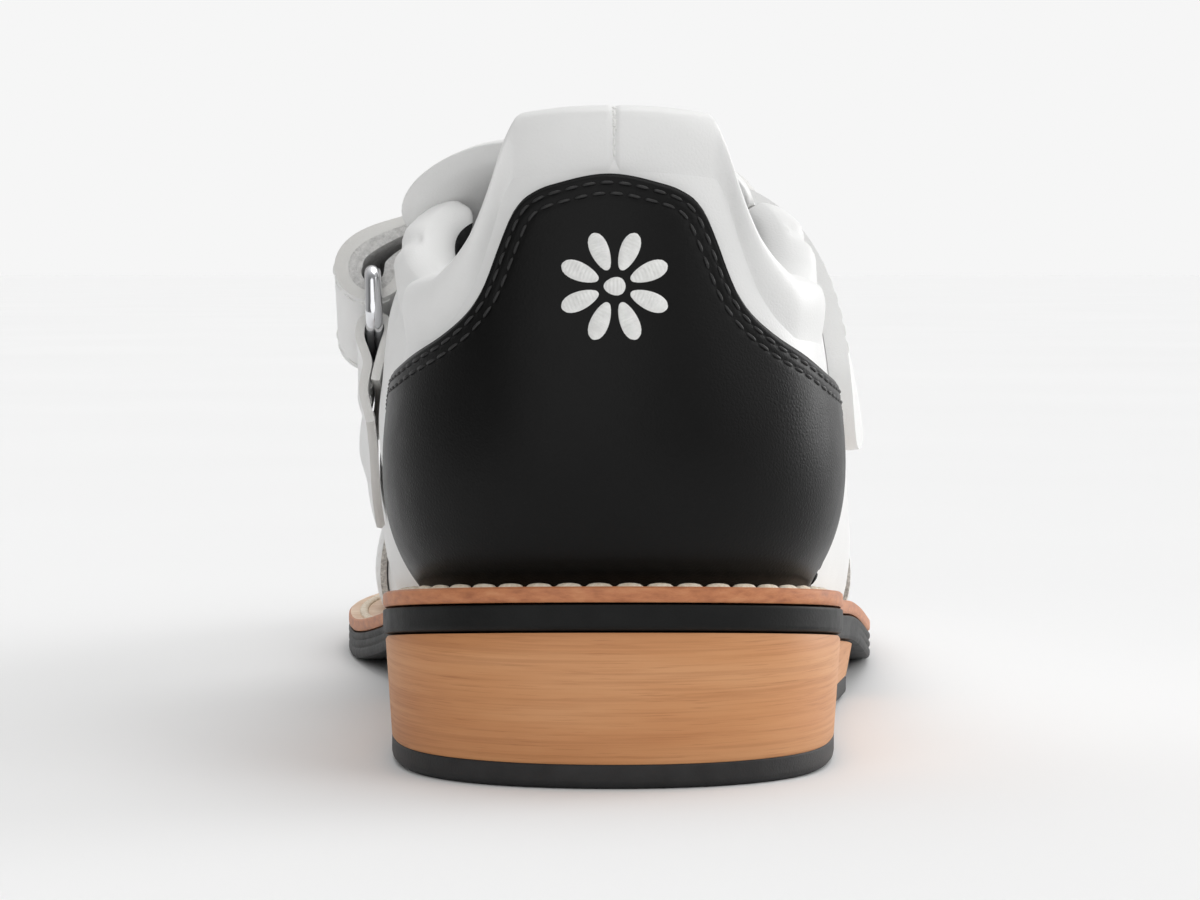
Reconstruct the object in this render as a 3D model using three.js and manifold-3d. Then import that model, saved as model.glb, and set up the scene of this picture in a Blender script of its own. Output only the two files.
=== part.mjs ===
// A weightlifting shoe for the right foot, standing empty on its sole.
// +Z is up, +Y points to the toe and +X to the outer side of the foot. All sizes are in millimetres.
// The solids share one description of the last: an outline of the sole, a side profile of the sole
// and a family of ribs that rise from the feather edge to the ridge of the instep.
import * as THREE from 'three';
import { mergeVertices } from 'three/addons/utils/BufferGeometryUtils.js';
import Module from 'manifold-3d';

const wasm = await Module();
wasm.setup();

// Driving sizes of the sole
const soleLength = 300;
const ballWidth = 106.6;
const heelWidth = 75;
const liftThickness = 3.8;
const liftChamfer = 1.2;
const woodHeight = 20.2;
const woodInset = 0.4;
const woodTaper = 1;
const heelPitch = 0.118;
const heelLength = 110;
const breastHollow = 6;
const rubberAtHeel = 4;
const rubberAtBall = 5.3;
const soleEdge = 0.8;
const toeSpring = 11;
const weltThickness = 2.4;
const weltMargin = 6.5;
const grooveWidth = 2.6;
const grooveDepth = 1.4;
const groovePitch = 9.5;
const grooveMargin = 9;

// Driving sizes of the upper
const upperWall = 2.2;
const instepHeight = 88;
const collarHeight = 72;
const heelFullness = 7;
const fullnessRise = 20;
const counterThickness = 1.3;
const counterHeight = 61.4;
const counterShift = 0.8;
const vampThickness = 1.6;
const insoleThickness = 3;
const tongueThickness = 5;
const tongueOverlap = 5;
const tongueFlare = 5;
const tongueInnerFlare = 9;
const tongueRise = 2;

// Driving sizes of the collar roll
const padThickness = 6.6;
const padDepth = 27;
const lipThickness = 1.4;
const lipDepth = 3.6;
const collarCrest = 3.4;

// Driving sizes of the strap, its ring and the ring's tab
const strapWidth = 38;
const strapThickness = 3.4;
const strapTilt = THREE.MathUtils.degToRad(24);
const strapAlong = 128;
const strapOuterReach = 69;
const strapTipRound = 13;
const strapFreeReach = 22;
const loopRadius = 5.1;
const loopOut = 0.9;
const loopUp = 1.15;
const loopMerge = 14;
const ringFromRidge = 47;
const ringStandoff = 8.4;
const lowStandoff = 3.9;
const ringHeight = 7.9;
const ringWire = 3;
const wireSides = 9;
const ringSideRoom = 0.8;
const ringCorner = 3;
const tabThickness = 1.6;
const tabWidth = 34;
const tabInnerLeg = 9;
const tabRearReach = 16.3;
const tabFrontReach = 26.3;
const tabMergeRoom = 1;

// Clearance between curved pieces that meet, and the looser ones of the strap, the tongue and the pad
const fitGap = 0.3;
const strapGap = 0.65;
const tongueGap = 1.3;
const padGap = 1.2;
const rimGap = 0.6;
const lipGap = 0.6;

// The sole's outline, counted in turns from the back of the heel by way of the outer side.
// along is a share of the sole's length, across a share of half the heel's or half the ball's width.
const outlineRows = [
  { turn: 0.0, across: 0.0, of: 'heel', along: 0.0 },
  { turn: 0.027, across: 0.493, of: 'heel', along: 0.0127 },
  { turn: 0.051, across: 0.827, of: 'heel', along: 0.0483 },
  { turn: 0.083, across: 0.984, of: 'heel', along: 0.12 },
  { turn: 0.1235, across: 1.008, of: 'heel', along: 0.2133 },
  { turn: 0.164, across: 1.075, of: 'heel', along: 0.3067 },
  { turn: 0.205, across: 1.205, of: 'heel', along: 0.4 },
  { turn: 0.248, across: 0.93, of: 'ball', along: 0.4967 },
  { turn: 0.29, across: 0.985, of: 'ball', along: 0.5933 },
  { turn: 0.327, across: 0.985, of: 'ball', along: 0.68 },
  { turn: 0.365, across: 0.915, of: 'ball', along: 0.7667 },
  { turn: 0.407, across: 0.746, of: 'ball', along: 0.8567 },
  { turn: 0.444, across: 0.506, of: 'ball', along: 0.93 },
  { turn: 0.479, across: 0.184, of: 'ball', along: 0.9867 },
  { turn: 0.5, across: -0.074, of: 'ball', along: 1.0 },
  { turn: 0.518, across: -0.276, of: 'ball', along: 0.9833 },
  { turn: 0.54, across: -0.497, of: 'ball', along: 0.95 },
  { turn: 0.573, across: -0.737, of: 'ball', along: 0.89 },
  { turn: 0.606, across: -0.893, of: 'ball', along: 0.82 },
  { turn: 0.642, across: -0.99, of: 'ball', along: 0.74 },
  { turn: 0.68, across: -1.0, of: 'ball', along: 0.6533 },
  { turn: 0.721, across: -0.92, of: 'ball', along: 0.56 },
  { turn: 0.763, across: -0.792, of: 'ball', along: 0.4667 },
  { turn: 0.8, across: -1.0, of: 'heel', along: 0.3867 },
  { turn: 0.834, across: -0.933, of: 'heel', along: 0.3067 },
  { turn: 0.875, across: -0.96, of: 'heel', along: 0.2133 },
  { turn: 0.917, across: -0.984, of: 'heel', along: 0.12 },
  { turn: 0.949, across: -0.827, of: 'heel', along: 0.0483 },
  { turn: 0.973, across: -0.493, of: 'heel', along: 0.0127 },
];

// Places along the sole's side profile, as shares of its length
const treadStart = 0.627;
const treadEnd = 0.787;
const thickeningStart = 0.2;
const thickeningEnd = 0.633;

// The ribs of the last by folded turn, 0 at the heel and 0.5 at the toe. The insets are shares of the
// welt's margin, the bulges of the heel's fullness and rise of fullnessRise.
const ribRows = [
  { turn: 0, outerInset: 1.2, innerInset: 1.2, outerBulge: 1, innerBulge: 1, rise: 1.1 },
  { turn: 0.083, outerInset: 1.34, innerInset: 1.34, outerBulge: 1.1, innerBulge: 1.05, rise: 1.1 },
  { turn: 0.13, outerInset: 1.12, innerInset: 1.12, outerBulge: 0.9, innerBulge: 1.1, rise: 1.3 },
  { turn: 0.164, outerInset: 0.85, innerInset: 0.85, outerBulge: 0.62, innerBulge: 1.65, rise: 1.7 },
  { turn: 0.205, outerInset: 0.82, innerInset: 0.95, outerBulge: 0.42, innerBulge: 1.7, rise: 1.7 },
  { turn: 0.248, outerInset: 0.89, innerInset: 1.25, outerBulge: 0.45, innerBulge: 1.2, rise: 1.2 },
  { turn: 0.29, outerInset: 1.1, innerInset: 1.5, outerBulge: 0.42, innerBulge: 0.4, rise: 0.75 },
  { turn: 0.34, outerInset: 1.12, innerInset: 1.45, outerBulge: 0.42, innerBulge: 0.4, rise: 0.6 },
  { turn: 0.43, outerInset: 1.12, innerInset: 1.2, outerBulge: 0.41, innerBulge: 0.4, rise: 0.55 },
  { turn: 0.5, outerInset: 1.15, innerInset: 1.15, outerBulge: 0.4, innerBulge: 0.4, rise: 0.5 },
];

// The ridge that each rib rises to: along is a share of the sole's length, across of half the ball's
// width and height of the instep's height above the welt. The arches are the exponents of the rib's curve
// on either side and slope is the share of a straight line mixed into it.
const ridgeRows = [
  { turn: 0, along: 0.15, across: 0, height: 1.25, outerArch: 2.5, innerArch: 2.5, slope: 0 },
  { turn: 0.083, along: 0.155, across: 0, height: 1.24, outerArch: 2.4, innerArch: 2.4, slope: 0 },
  { turn: 0.13, along: 0.227, across: 0.02, height: 1.1, outerArch: 2.3, innerArch: 2.5, slope: 0.04 },
  { turn: 0.164, along: 0.307, across: 0.02, height: 0.91, outerArch: 3.5, innerArch: 3.9, slope: 0.06 },
  { turn: 0.183, along: 0.35, across: 0.02, height: 0.867, outerArch: 3.7, innerArch: 2.8, slope: 0.07 },
  { turn: 0.205, along: 0.4, across: 0.02, height: 0.836, outerArch: 3.6, innerArch: 2.5, slope: 0.08 },
  { turn: 0.248, along: 0.497, across: -0.02, height: 0.784, outerArch: 2.7, innerArch: 2.7, slope: 0.12 },
  { turn: 0.29, along: 0.585, across: -0.07, height: 0.75, outerArch: 1.95, innerArch: 1.95, slope: 0.15 },
  { turn: 0.34, along: 0.593, across: -0.075, height: 0.745, outerArch: 2, innerArch: 2, slope: 0.25 },
  { turn: 0.43, along: 0.593, across: -0.075, height: 0.745, outerArch: 2.3, innerArch: 2.3, slope: 0.4 },
  { turn: 0.5, along: 0.593, across: -0.075, height: 0.745, outerArch: 2.6, innerArch: 2.6, slope: 0.5 },
];

// The topline by folded turn, as a share of the collar's height above the welt
const toplineRows = [
  { turn: 0, height: 0.975 },
  { turn: 0.0285, height: 0.967 },
  { turn: 0.0318, height: 0.915 },
  { turn: 0.0335, height: 0.85 },
  { turn: 0.0357, height: 0.782 },
  { turn: 0.0388, height: 0.72 },
  { turn: 0.0445, height: 0.667 },
  { turn: 0.052, height: 0.637 },
  { turn: 0.07, height: 0.64 },
  { turn: 0.1, height: 0.67 },
  { turn: 0.125, height: 0.7 },
  { turn: 0.145, height: 0.76 },
  { turn: 0.172, height: 0.93 },
  { turn: 0.2, height: 1.2 },
  { turn: 0.5, height: 2 },
];

// The throat's edge by folded turn, as a share of the rib's way in plan from the ridge to its foot
const throatRows = [
  { turn: 0, reach: 0.8 },
  { turn: 0.172, reach: 0.76 },
  { turn: 0.19, reach: 0.55 },
  { turn: 0.215, reach: 0.36 },
  { turn: 0.248, reach: 0.24 },
  { turn: 0.29, reach: 0.16 },
  { turn: 0.34, reach: 0.11 },
  { turn: 0.5, reach: 0.06 },
];

// The edge of the heel counter seen from behind: across is a share of half the heel's width and up a
// share of the counter's height above the welt at the back
const counterRows = [
  { across: 0, up: 1 },
  { across: 0.23, up: 0.972 },
  { across: 0.32, up: 0.945 },
  { across: 0.37, up: 0.91 },
  { across: 0.42, up: 0.84 },
  { across: 0.46, up: 0.77 },
  { across: 0.5, up: 0.71 },
  { across: 0.56, up: 0.655 },
  { across: 0.66, up: 0.6 },
  { across: 0.78, up: 0.55 },
  { across: 0.9, up: 0.49 },
  { across: 1.02, up: 0.44 },
  { across: 1.3, up: 0.4 },
];

// The counter's front edge and the vamp's rear edge seen from the side: along is a share of the sole's
// length and up a share of the instep's height above the welt
const counterFront = [
  { along: 0.25, up: -0.2 },
  { along: 0.245, up: 0.12 },
  { along: 0.228, up: 0.24 },
  { along: 0.2, up: 0.32 },
  { along: 0.16, up: 0.37 },
  { along: 0.12, up: 0.395 },
];
const vampRear = [
  { along: 0.628, up: -0.2 },
  { along: 0.626, up: 0 },
  { along: 0.622, up: 0.12 },
  { along: 0.614, up: 0.3 },
  { along: 0.604, up: 0.5 },
  { along: 0.596, up: 0.66 },
  { along: 0.592, up: 0.74 },
  { along: 0.59, up: 1 },
];

// The collar runs from one facing of the throat round the heel to the other
const facingTurn = 0.172;

// Turns at which every piece is sampled, so that neighbours bend alike
const turnSpans = [
  { from: 0, to: 0.054, steps: 10 },
  { from: 0.054, to: 0.09, steps: 4 },
  { from: 0.09, to: facingTurn, steps: 7 },
  { from: facingTurn, to: 0.38, steps: 10 },
  { from: 0.38, to: 0.5, steps: 7 },
];

const { clamp, lerp, smoothstep } = THREE.MathUtils;
const vector = (x, y, z) => new THREE.Vector3(x, y, z);

// A curve through the named column of a table that never overshoots its rows
function tableCurve(rows, column) {
  const at = rows.map((row) => row.turn);
  const value = rows.map((row) => row[column]);
  const slope = at.map((_, i) => {
    if (i === 0 || i === at.length - 1) return 0;
    const before = (value[i] - value[i - 1]) / (at[i] - at[i - 1]);
    const after = (value[i + 1] - value[i]) / (at[i + 1] - at[i]);
    return before * after <= 0 ? 0 : (2 * before * after) / (before + after);
  });
  return (turn) => {
    const t = clamp(turn, at[0], at[at.length - 1]);
    let i = 0;
    while (i < at.length - 2 && t > at[i + 1]) i += 1;
    return hermite(at[i], value[i], slope[i], at[i + 1], value[i + 1], slope[i + 1], t);
  };
}

function hermite(x0, y0, m0, x1, y1, m1, x) {
  const span = x1 - x0;
  const u = (x - x0) / span;
  const rest = 1 - u;
  return y0 * rest * rest * (1 + 2 * u) + m0 * span * u * rest * rest
    + y1 * u * u * (3 - 2 * u) - m1 * span * u * u * rest;
}

// A smooth closed curve through values at the given turns: the slopes of a periodic cubic spline
function closedCurve(turns, values) {
  const n = turns.length;
  const span = turns.map((t, i) => (i === n - 1 ? 1 + turns[0] : turns[i + 1]) - t);
  const rise = values.map((v, i) => values[(i + 1) % n] - v);
  let slope = values.map(() => 0);
  for (let pass = 0; pass < 60; pass += 1) {
    slope = slope.map((_, i) => {
      const h = (i + n - 1) % n;
      const pull = 3 * (rise[h] / span[h] ** 2 + rise[i] / span[i] ** 2);
      return (pull - slope[h] / span[h] - slope[(i + 1) % n] / span[i])
        / (2 / span[h] + 2 / span[i]);
    });
  }
  return (turn) => {
    const t = turn - Math.floor(turn);
    let i = n - 1;
    while (t < turns[i]) i -= 1;
    const j = (i + 1) % n;
    return hermite(turns[i], values[i], slope[i], turns[i] + span[i], values[j], slope[j], t);
  };
}

// Outline of the sole
const halfWidths = { heel: heelWidth / 2, ball: ballWidth / 2 };
const outlineTurns = outlineRows.map((row) => row.turn);
const outlineX = closedCurve(outlineTurns, outlineRows.map((row) => row.across * halfWidths[row.of]));
const outlineY = closedCurve(outlineTurns, outlineRows.map((row) => row.along * soleLength));

function outlineNormal(turn) {
  const step = 0.002;
  const dx = outlineX(turn + step) - outlineX(turn - step);
  const dy = outlineY(turn + step) - outlineY(turn - step);
  return vector(dy, -dx, 0).normalize();
}

function outlinePoint(turn, inset) {
  const normal = outlineNormal(turn);
  return vector(outlineX(turn) - normal.x * inset, outlineY(turn) - normal.y * inset, 0);
}

// Heights of the sole's layers along the shoe
const heelHeight = liftThickness + woodHeight + fitGap;

function soleBottom(y) {
  const tread = treadStart * soleLength;
  const spring = treadEnd * soleLength;
  if (y <= heelLength) return heelHeight - heelPitch * y;
  if (y <= tread) {
    return hermite(heelLength, heelHeight - heelPitch * heelLength, -heelPitch, tread, 0, 0, y);
  }
  return y <= spring ? 0 : toeSpring * ((y - spring) / (soleLength - spring)) ** 2;
}

function soleTop(y) {
  const thick = smoothstep(y / soleLength, thickeningStart, thickeningEnd);
  return soleBottom(y) + lerp(rubberAtHeel, rubberAtBall, thick);
}

const weltBottom = (y) => soleTop(y) + fitGap;
const weltTop = (y) => weltBottom(y) + weltThickness;
const featherHeight = (y) => weltTop(y) + fitGap;

// Surface of the upper: level 0 is the feather edge and level 1 the ridge of the instep
const fold = (turn) => {
  const t = turn - Math.floor(turn);
  return Math.min(t, 1 - t);
};
const columnCurves = (rows, names) => (
  Object.fromEntries(names.map((name) => [name, tableCurve(rows, name)]))
);
const ribCurves = {
  ...columnCurves(ribRows, ['outerInset', 'innerInset', 'outerBulge', 'innerBulge', 'rise']),
  ...columnCurves(ridgeRows, ['along', 'across', 'height', 'outerArch', 'innerArch', 'slope']),
};
const topline = tableCurve(toplineRows, 'height');
const throat = tableCurve(throatRows, 'reach');

const onOuterSide = (turn) => turn - Math.floor(turn) < 0.5;
const footInset = (turn) => (
  ribCurves[onOuterSide(turn) ? 'outerInset' : 'innerInset'](fold(turn)) * weltMargin
);

function ribAt(turn) {
  const folded = fold(turn);
  const rib = Object.fromEntries(Object.entries(ribCurves).map(([name, curve]) => [name, curve(folded)]));
  const outer = onOuterSide(turn);
  const bulge = outer ? rib.outerBulge : rib.innerBulge;
  const arch = outer ? rib.outerArch : rib.innerArch;
  const foot = outlinePoint(turn, footInset(turn));
  foot.z = featherHeight(foot.y);
  const ridge = vector(rib.across * ballWidth / 2, rib.along * soleLength, 0);
  ridge.z = featherHeight(ridge.y) + rib.height * instepHeight;
  return { ...rib, bulge, arch, foot, ridge, normal: outlineNormal(turn) };
}

function ribPoint(rib, level) {
  const angle = clamp(level, 0, 1) * Math.PI / 2;
  const lift = Math.sin(angle) ** (2 / rib.arch);
  const lean = 1 - Math.max(Math.cos(angle), 0) ** (2 / rib.arch);
  const climb = (1 - rib.slope) * lift + rib.slope * lean;
  const point = rib.foot.clone().lerp(rib.ridge, lean);
  point.z = lerp(rib.foot.z, rib.ridge.z, climb);
  const rise = (point.z - rib.foot.z) / (rib.rise * fullnessRise);
  return point.addScaledVector(rib.normal, rib.bulge * heelFullness * rise * Math.exp(1 - rise));
}

const surfacePoint = (turn, level) => ribPoint(ribAt(turn), level);

function surfaceNormal(turn, level) {
  const turnStep = 0.003;
  const levelStep = 0.015;
  const low = clamp(level - levelStep, 0, 1 - 2 * levelStep);
  const along = surfacePoint(turn + turnStep, level).sub(surfacePoint(turn - turnStep, level));
  const up = surfacePoint(turn, low + 2 * levelStep).sub(surfacePoint(turn, low));
  return along.cross(up).normalize();
}

const offsetPoint = (turn, level, offset) => (
  surfacePoint(turn, level).addScaledVector(surfaceNormal(turn, level), offset)
);

// The last place between two for which the test still holds
const halvings = 30;

function lastPlace(from, to, test) {
  let low = from;
  let high = to;
  for (let i = 0; i < halvings; i += 1) {
    const middle = (low + high) / 2;
    if (test(middle)) low = middle;
    else high = middle;
  }
  return low;
}

function levelAtHeight(turn, height) {
  const rib = ribAt(turn);
  return lastPlace(0, 1, (level) => ribPoint(rib, level).z - rib.foot.z < height);
}

function levelAtReach(turn, share, more = 0) {
  const rib = ribAt(turn);
  const span = Math.hypot(rib.foot.x - rib.ridge.x, rib.foot.y - rib.ridge.y);
  return lastPlace(0, 1, (level) => {
    const point = ribPoint(rib, level);
    return Math.hypot(point.x - rib.ridge.x, point.y - rib.ridge.y) > share * span + more;
  });
}

function rimLevel(turn) {
  const side = levelAtHeight(turn, topline(fold(turn)) * collarHeight);
  return Math.min(side, levelAtReach(turn, throat(fold(turn))));
}

function halfTurns() {
  const list = [0];
  for (const span of turnSpans) {
    for (let i = 1; i <= span.steps; i += 1) {
      list.push(lerp(span.from, span.to, i / span.steps));
    }
  }
  return list;
}

const outerTurns = halfTurns();
const allTurns = [...outerTurns, ...outerTurns.slice(1, -1).reverse().map((turn) => 1 - turn)];
const heelTurns = (end) => {
  const side = outerTurns.filter((turn) => turn <= end);
  return [...side.slice(1).reverse().map((turn) => -turn), ...side];
};

const wallRows = 9;

// Builders of closed solids
function solid(points, triangles) {
  let volume = 0;
  for (const [a, b, c] of triangles) {
    volume += points[a].dot(points[b].clone().cross(points[c]));
  }
  const facing = volume < 0 ? triangles.map(([a, b, c]) => [a, c, b]) : triangles;
  const geometry = new THREE.BufferGeometry();
  const position = new THREE.Float32BufferAttribute(points.flatMap((p) => [p.x, p.y, p.z]), 3);
  geometry.setAttribute('position', position);
  geometry.setIndex(facing.flat());
  return geometry;
}

const quad = (a, b, c, d) => [[a, b, c], [a, c, d]];

// Rows of points, each row a closed loop; the last row joins the first
function ringSolid(rows) {
  const n = rows[0].length;
  const triangles = rows.flatMap((_, r) => rows[r].flatMap((__, i) => {
    const next = (r + 1) % rows.length;
    const j = (i + 1) % n;
    return quad(r * n + i, r * n + j, next * n + j, next * n + i);
  }));
  return solid(rows.flat(), triangles);
}

// Rows of points round the outline, closed at both ends by rungs from the outer to the inner side
function plateSolid(rows) {
  const n = rows[0].length;
  const top = (rows.length - 1) * n;
  const triangles = [];
  for (let r = 0; r < rows.length - 1; r += 1) {
    for (let i = 0; i < n; i += 1) {
      const j = (i + 1) % n;
      triangles.push(...quad(r * n + i, r * n + j, (r + 1) * n + j, (r + 1) * n + i));
    }
  }
  for (let i = 0; i < n / 2; i += 1) {
    const corners = [i, i + 1, n - i - 1, (n - i) % n];
    for (const [a, b, c] of quad(...corners)) {
      if (a === b || b === c || a === c) continue;
      triangles.push([a, c, b], [a + top, b + top, c + top]);
    }
  }
  return solid(rows.flat(), triangles);
}

// Two matching skins all round the outline, with equal diagonals, closed along their lower and upper edges
function shellSolid(outer, inner) {
  const n = outer[0].length;
  const behind = outer.length * n;
  const top = behind - n;
  const triangles = [];
  for (let i = 0; i < n; i += 1) {
    const j = (i + 1) % n;
    for (let r = 0; r < top; r += n) {
      for (const [a, b, c] of quad(r + i, r + j, r + n + j, r + n + i)) {
        triangles.push([a, b, c], [a + behind, c + behind, b + behind]);
      }
    }
    triangles.push(...quad(j, i, i + behind, j + behind));
    triangles.push(...quad(i + top, j + top, j + top + behind, i + top + behind));
  }
  return solid([...outer.flat(), ...inner.flat()], triangles);
}

// Two matching sheets of points, closed round their edges
function sheetSolid(front, back) {
  const rows = front.length;
  const columns = front[0].length;
  const behind = rows * columns;
  const at = (r, c) => r * columns + c;
  const triangles = [];
  for (let r = 0; r < rows - 1; r += 1) {
    for (let c = 0; c < columns - 1; c += 1) {
      for (const [i, j, k] of quad(at(r, c), at(r, c + 1), at(r + 1, c + 1), at(r + 1, c))) {
        triangles.push([i, j, k], [i + behind, k + behind, j + behind]);
      }
    }
  }
  const edge = [];
  for (let c = 0; c < columns - 1; c += 1) edge.push([at(0, c + 1), at(0, c)]);
  for (let r = 0; r < rows - 1; r += 1) edge.push([at(r, 0), at(r + 1, 0)]);
  for (let c = 0; c < columns - 1; c += 1) edge.push([at(rows - 1, c), at(rows - 1, c + 1)]);
  for (let r = 0; r < rows - 1; r += 1) edge.push([at(r + 1, columns - 1), at(r, columns - 1)]);
  for (const [a, b] of edge) triangles.push(...quad(a, b, b + behind, a + behind));
  return solid([...front.flat(), ...back.flat()], triangles);
}

// Sections of one shape swept along a path, with the two end sections closed
function sweptSolid(sections, shape) {
  const n = shape.length;
  const triangles = [];
  for (let r = 0; r < sections.length - 1; r += 1) {
    for (let i = 0; i < n; i += 1) {
      const j = (i + 1) % n;
      triangles.push(...quad(r * n + i, r * n + j, (r + 1) * n + j, (r + 1) * n + i));
    }
  }
  const flat = shape.map((point) => new THREE.Vector2(point.inward, point.above));
  const turnedLeft = THREE.ShapeUtils.area(flat) > 0;
  const last = (sections.length - 1) * n;
  for (const [a, b, c] of THREE.ShapeUtils.triangulateShape(flat, [])) {
    const cap = turnedLeft ? [a, b, c] : [a, c, b];
    triangles.push([cap[0], cap[2], cap[1]], cap.map((index) => index + last));
  }
  return solid(sections.flat(), triangles);
}

// Boolean cuts
const mergeDistance = 1e-4;

function toManifold(geometry) {
  const bare = geometry.clone();
  bare.deleteAttribute('normal');
  bare.deleteAttribute('uv');
  const merged = mergeVertices(bare, mergeDistance);
  return new wasm.Manifold(new wasm.Mesh({
    numProp: 3,
    vertProperties: new Float32Array(merged.attributes.position.array),
    triVerts: new Uint32Array(merged.index.array),
  }));
}

function fromManifold(body) {
  const mesh = body.getMesh();
  const result = new THREE.BufferGeometry();
  result.setAttribute('position', new THREE.Float32BufferAttribute(mesh.vertProperties, 3));
  result.setIndex(Array.from(mesh.triVerts));
  return result;
}

const cutAway = (geometry, cutters) => fromManifold(
  cutters.reduce((rest, cutter) => rest.subtract(toManifold(cutter)), toManifold(geometry)),
);
const keepInside = (geometry, forms) => fromManifold(
  forms.reduce((rest, form) => rest.intersect(toManifold(form)), toManifold(geometry)),
);

// One row of a layer: the outline set in by a margin, at a height that follows the shoe's length
const layerRow = (insetAt, height) => allTurns.map((turn) => {
  const point = outlinePoint(turn, insetAt(turn));
  point.z = height(point.y);
  return point;
});

const flush = () => 0;

// Heel: a rubber lift under a tapered wooden block, both hollowed at the breast
const hollowSides = 64;

function heelBlock(rows) {
  const uncut = heelLength + 3 * breastHollow;
  const front = outerTurns.filter((turn) => outlineY(turn) < uncut);
  const loop = [...front, ...front.slice(1).reverse().map((turn) => 1 - turn)];
  const block = plateSolid(rows.map(({ inset, height }) => loop.map((turn) => {
    const point = outlinePoint(turn, inset);
    point.z = height(point.y);
    return point;
  })));
  const hollowRadius = heelWidth;
  const hollow = new THREE.CylinderGeometry(hollowRadius, hollowRadius, 4 * heelHeight, hollowSides);
  hollow.rotateX(Math.PI / 2);
  hollow.translate(0, heelLength - breastHollow + hollowRadius, heelHeight);
  return cutAway(block, [hollow]);
}

function heelLift() {
  const inset = woodInset + woodTaper;
  return heelBlock([
    { inset: inset + liftChamfer, height: () => 0 },
    { inset, height: () => liftChamfer },
    { inset, height: () => liftThickness },
  ]);
}

function woodHeel() {
  return heelBlock([
    { inset: woodInset + woodTaper, height: () => liftThickness },
    { inset: woodInset, height: (y) => soleBottom(y) - fitGap },
  ]);
}

// Outsole with a run of grooves across the forefoot's tread
function outsole() {
  const body = plateSolid([
    layerRow(() => soleEdge, soleBottom),
    layerRow(flush, (y) => soleBottom(y) + soleEdge),
    layerRow(flush, soleTop),
  ]);
  const first = treadStart * soleLength + groovePitch / 2;
  const count = Math.floor((soleLength - grooveMargin * 2 - first) / groovePitch);
  const grooves = Array.from({ length: count }, (_, i) => {
    const y = first + i * groovePitch;
    const lower = soleBottom(y - grooveWidth / 2);
    const tilt = Math.atan2(soleBottom(y + grooveWidth / 2) - lower, grooveWidth);
    const reach = halfTreadWidth(y) - grooveMargin;
    const groove = new THREE.BoxGeometry(2 * reach, grooveWidth, 2 * grooveDepth);
    groove.rotateX(tilt);
    groove.translate(treadCentre(y), y, soleBottom(y));
    return groove;
  });
  return cutAway(body, grooves);
}

// The outline's two sides at a place along the shoe
const sideTurn = (y, side) => side * lastPlace(0, 0.5, (turn) => outlineY(side * turn) < y);

const outerEdge = (y) => outlineX(sideTurn(y, 1));
const innerEdge = (y) => outlineX(sideTurn(y, -1));
const treadCentre = (y) => (outerEdge(y) + innerEdge(y)) / 2;
const halfTreadWidth = (y) => (outerEdge(y) - innerEdge(y)) / 2;

// Welt and insole
const boardInset = (turn) => footInset(turn) + upperWall + 4 * fitGap;

function welt() {
  const inner = (turn) => boardInset(turn) - fitGap;
  return ringSolid([
    layerRow(flush, weltBottom),
    layerRow(flush, weltTop),
    layerRow(inner, weltTop),
    layerRow(inner, weltBottom),
  ]);
}

function insole() {
  const top = (y) => featherHeight(y) + insoleThickness;
  return plateSolid([layerRow(boardInset, weltBottom), layerRow(boardInset, top)]);
}

// Rows of the upper's surface from the feather edge to the rim, closer together towards the rim
const rimPower = 1.35;

function surfaceRows(offset) {
  return Array.from({ length: wallRows + 1 }, (_, r) => {
    const share = 1 - (1 - r / wallRows) ** rimPower;
    return allTurns.map((turn) => offsetPoint(turn, rimLevel(turn) * share, offset));
  });
}

const levelled = (row) => row.map((point) => vector(point.x, point.y, featherHeight(point.y)));

// A wall that follows the upper's surface between two offsets from it
function wall(outerOffset, innerOffset) {
  const outer = surfaceRows(outerOffset);
  const inner = surfaceRows(innerOffset);
  outer[0] = levelled(outer[0]);
  inner[0] = levelled(inner[0]);
  return shellSolid(outer, inner);
}

const upper = () => wall(0, -upperWall);

// A flat outline pushed through the whole shoe, along Y for an outline seen from behind and along X for
// one seen from the side
function prism(outline, along) {
  const shape = new THREE.Shape(outline.map(([x, y]) => new THREE.Vector2(x, y)));
  const geometry = new THREE.ExtrudeGeometry(shape, { depth: 2 * soleLength, bevelEnabled: false });
  geometry.translate(0, 0, -soleLength);
  geometry.rotateX(Math.PI / 2);
  if (along === 'X') geometry.rotateZ(Math.PI / 2);
  return geometry;
}

// The overlays are cut from a skin just outside the upper
function heelCounter() {
  const skin = wall(fitGap + counterThickness, fitGap);
  const base = featherHeight(0);
  const side = counterRows.map((row) => [row.across * heelWidth / 2, base + row.up * counterHeight]);
  const reach = side[side.length - 1][0];
  const bell = [[-reach, 0], ...side.slice(1).reverse().map(([x, z]) => [-x, z]), ...side, [reach, 0]];
  const front = counterFront.map((row) => (
    [row.along * soleLength, featherHeight(row.along * soleLength) + row.up * instepHeight]
  ));
  const top = base + 2 * counterHeight;
  return keepInside(skin, [
    prism(bell.map(([x, z]) => [x - counterShift, z]), 'Y'),
    prism([[-heelWidth, front[0][1]], ...front, [front[front.length - 1][0], top], [-heelWidth, top]], 'X'),
  ]);
}

function vamp() {
  const skin = wall(fitGap + vampThickness, fitGap);
  const rear = vampRear.map((row) => (
    [row.along * soleLength, featherHeight(row.along * soleLength) + row.up * instepHeight]
  ));
  const far = 2 * soleLength;
  return keepInside(skin, [prism([...rear, [far, rear[rear.length - 1][1]], [far, rear[0][1]]], 'X')]);
}

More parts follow.
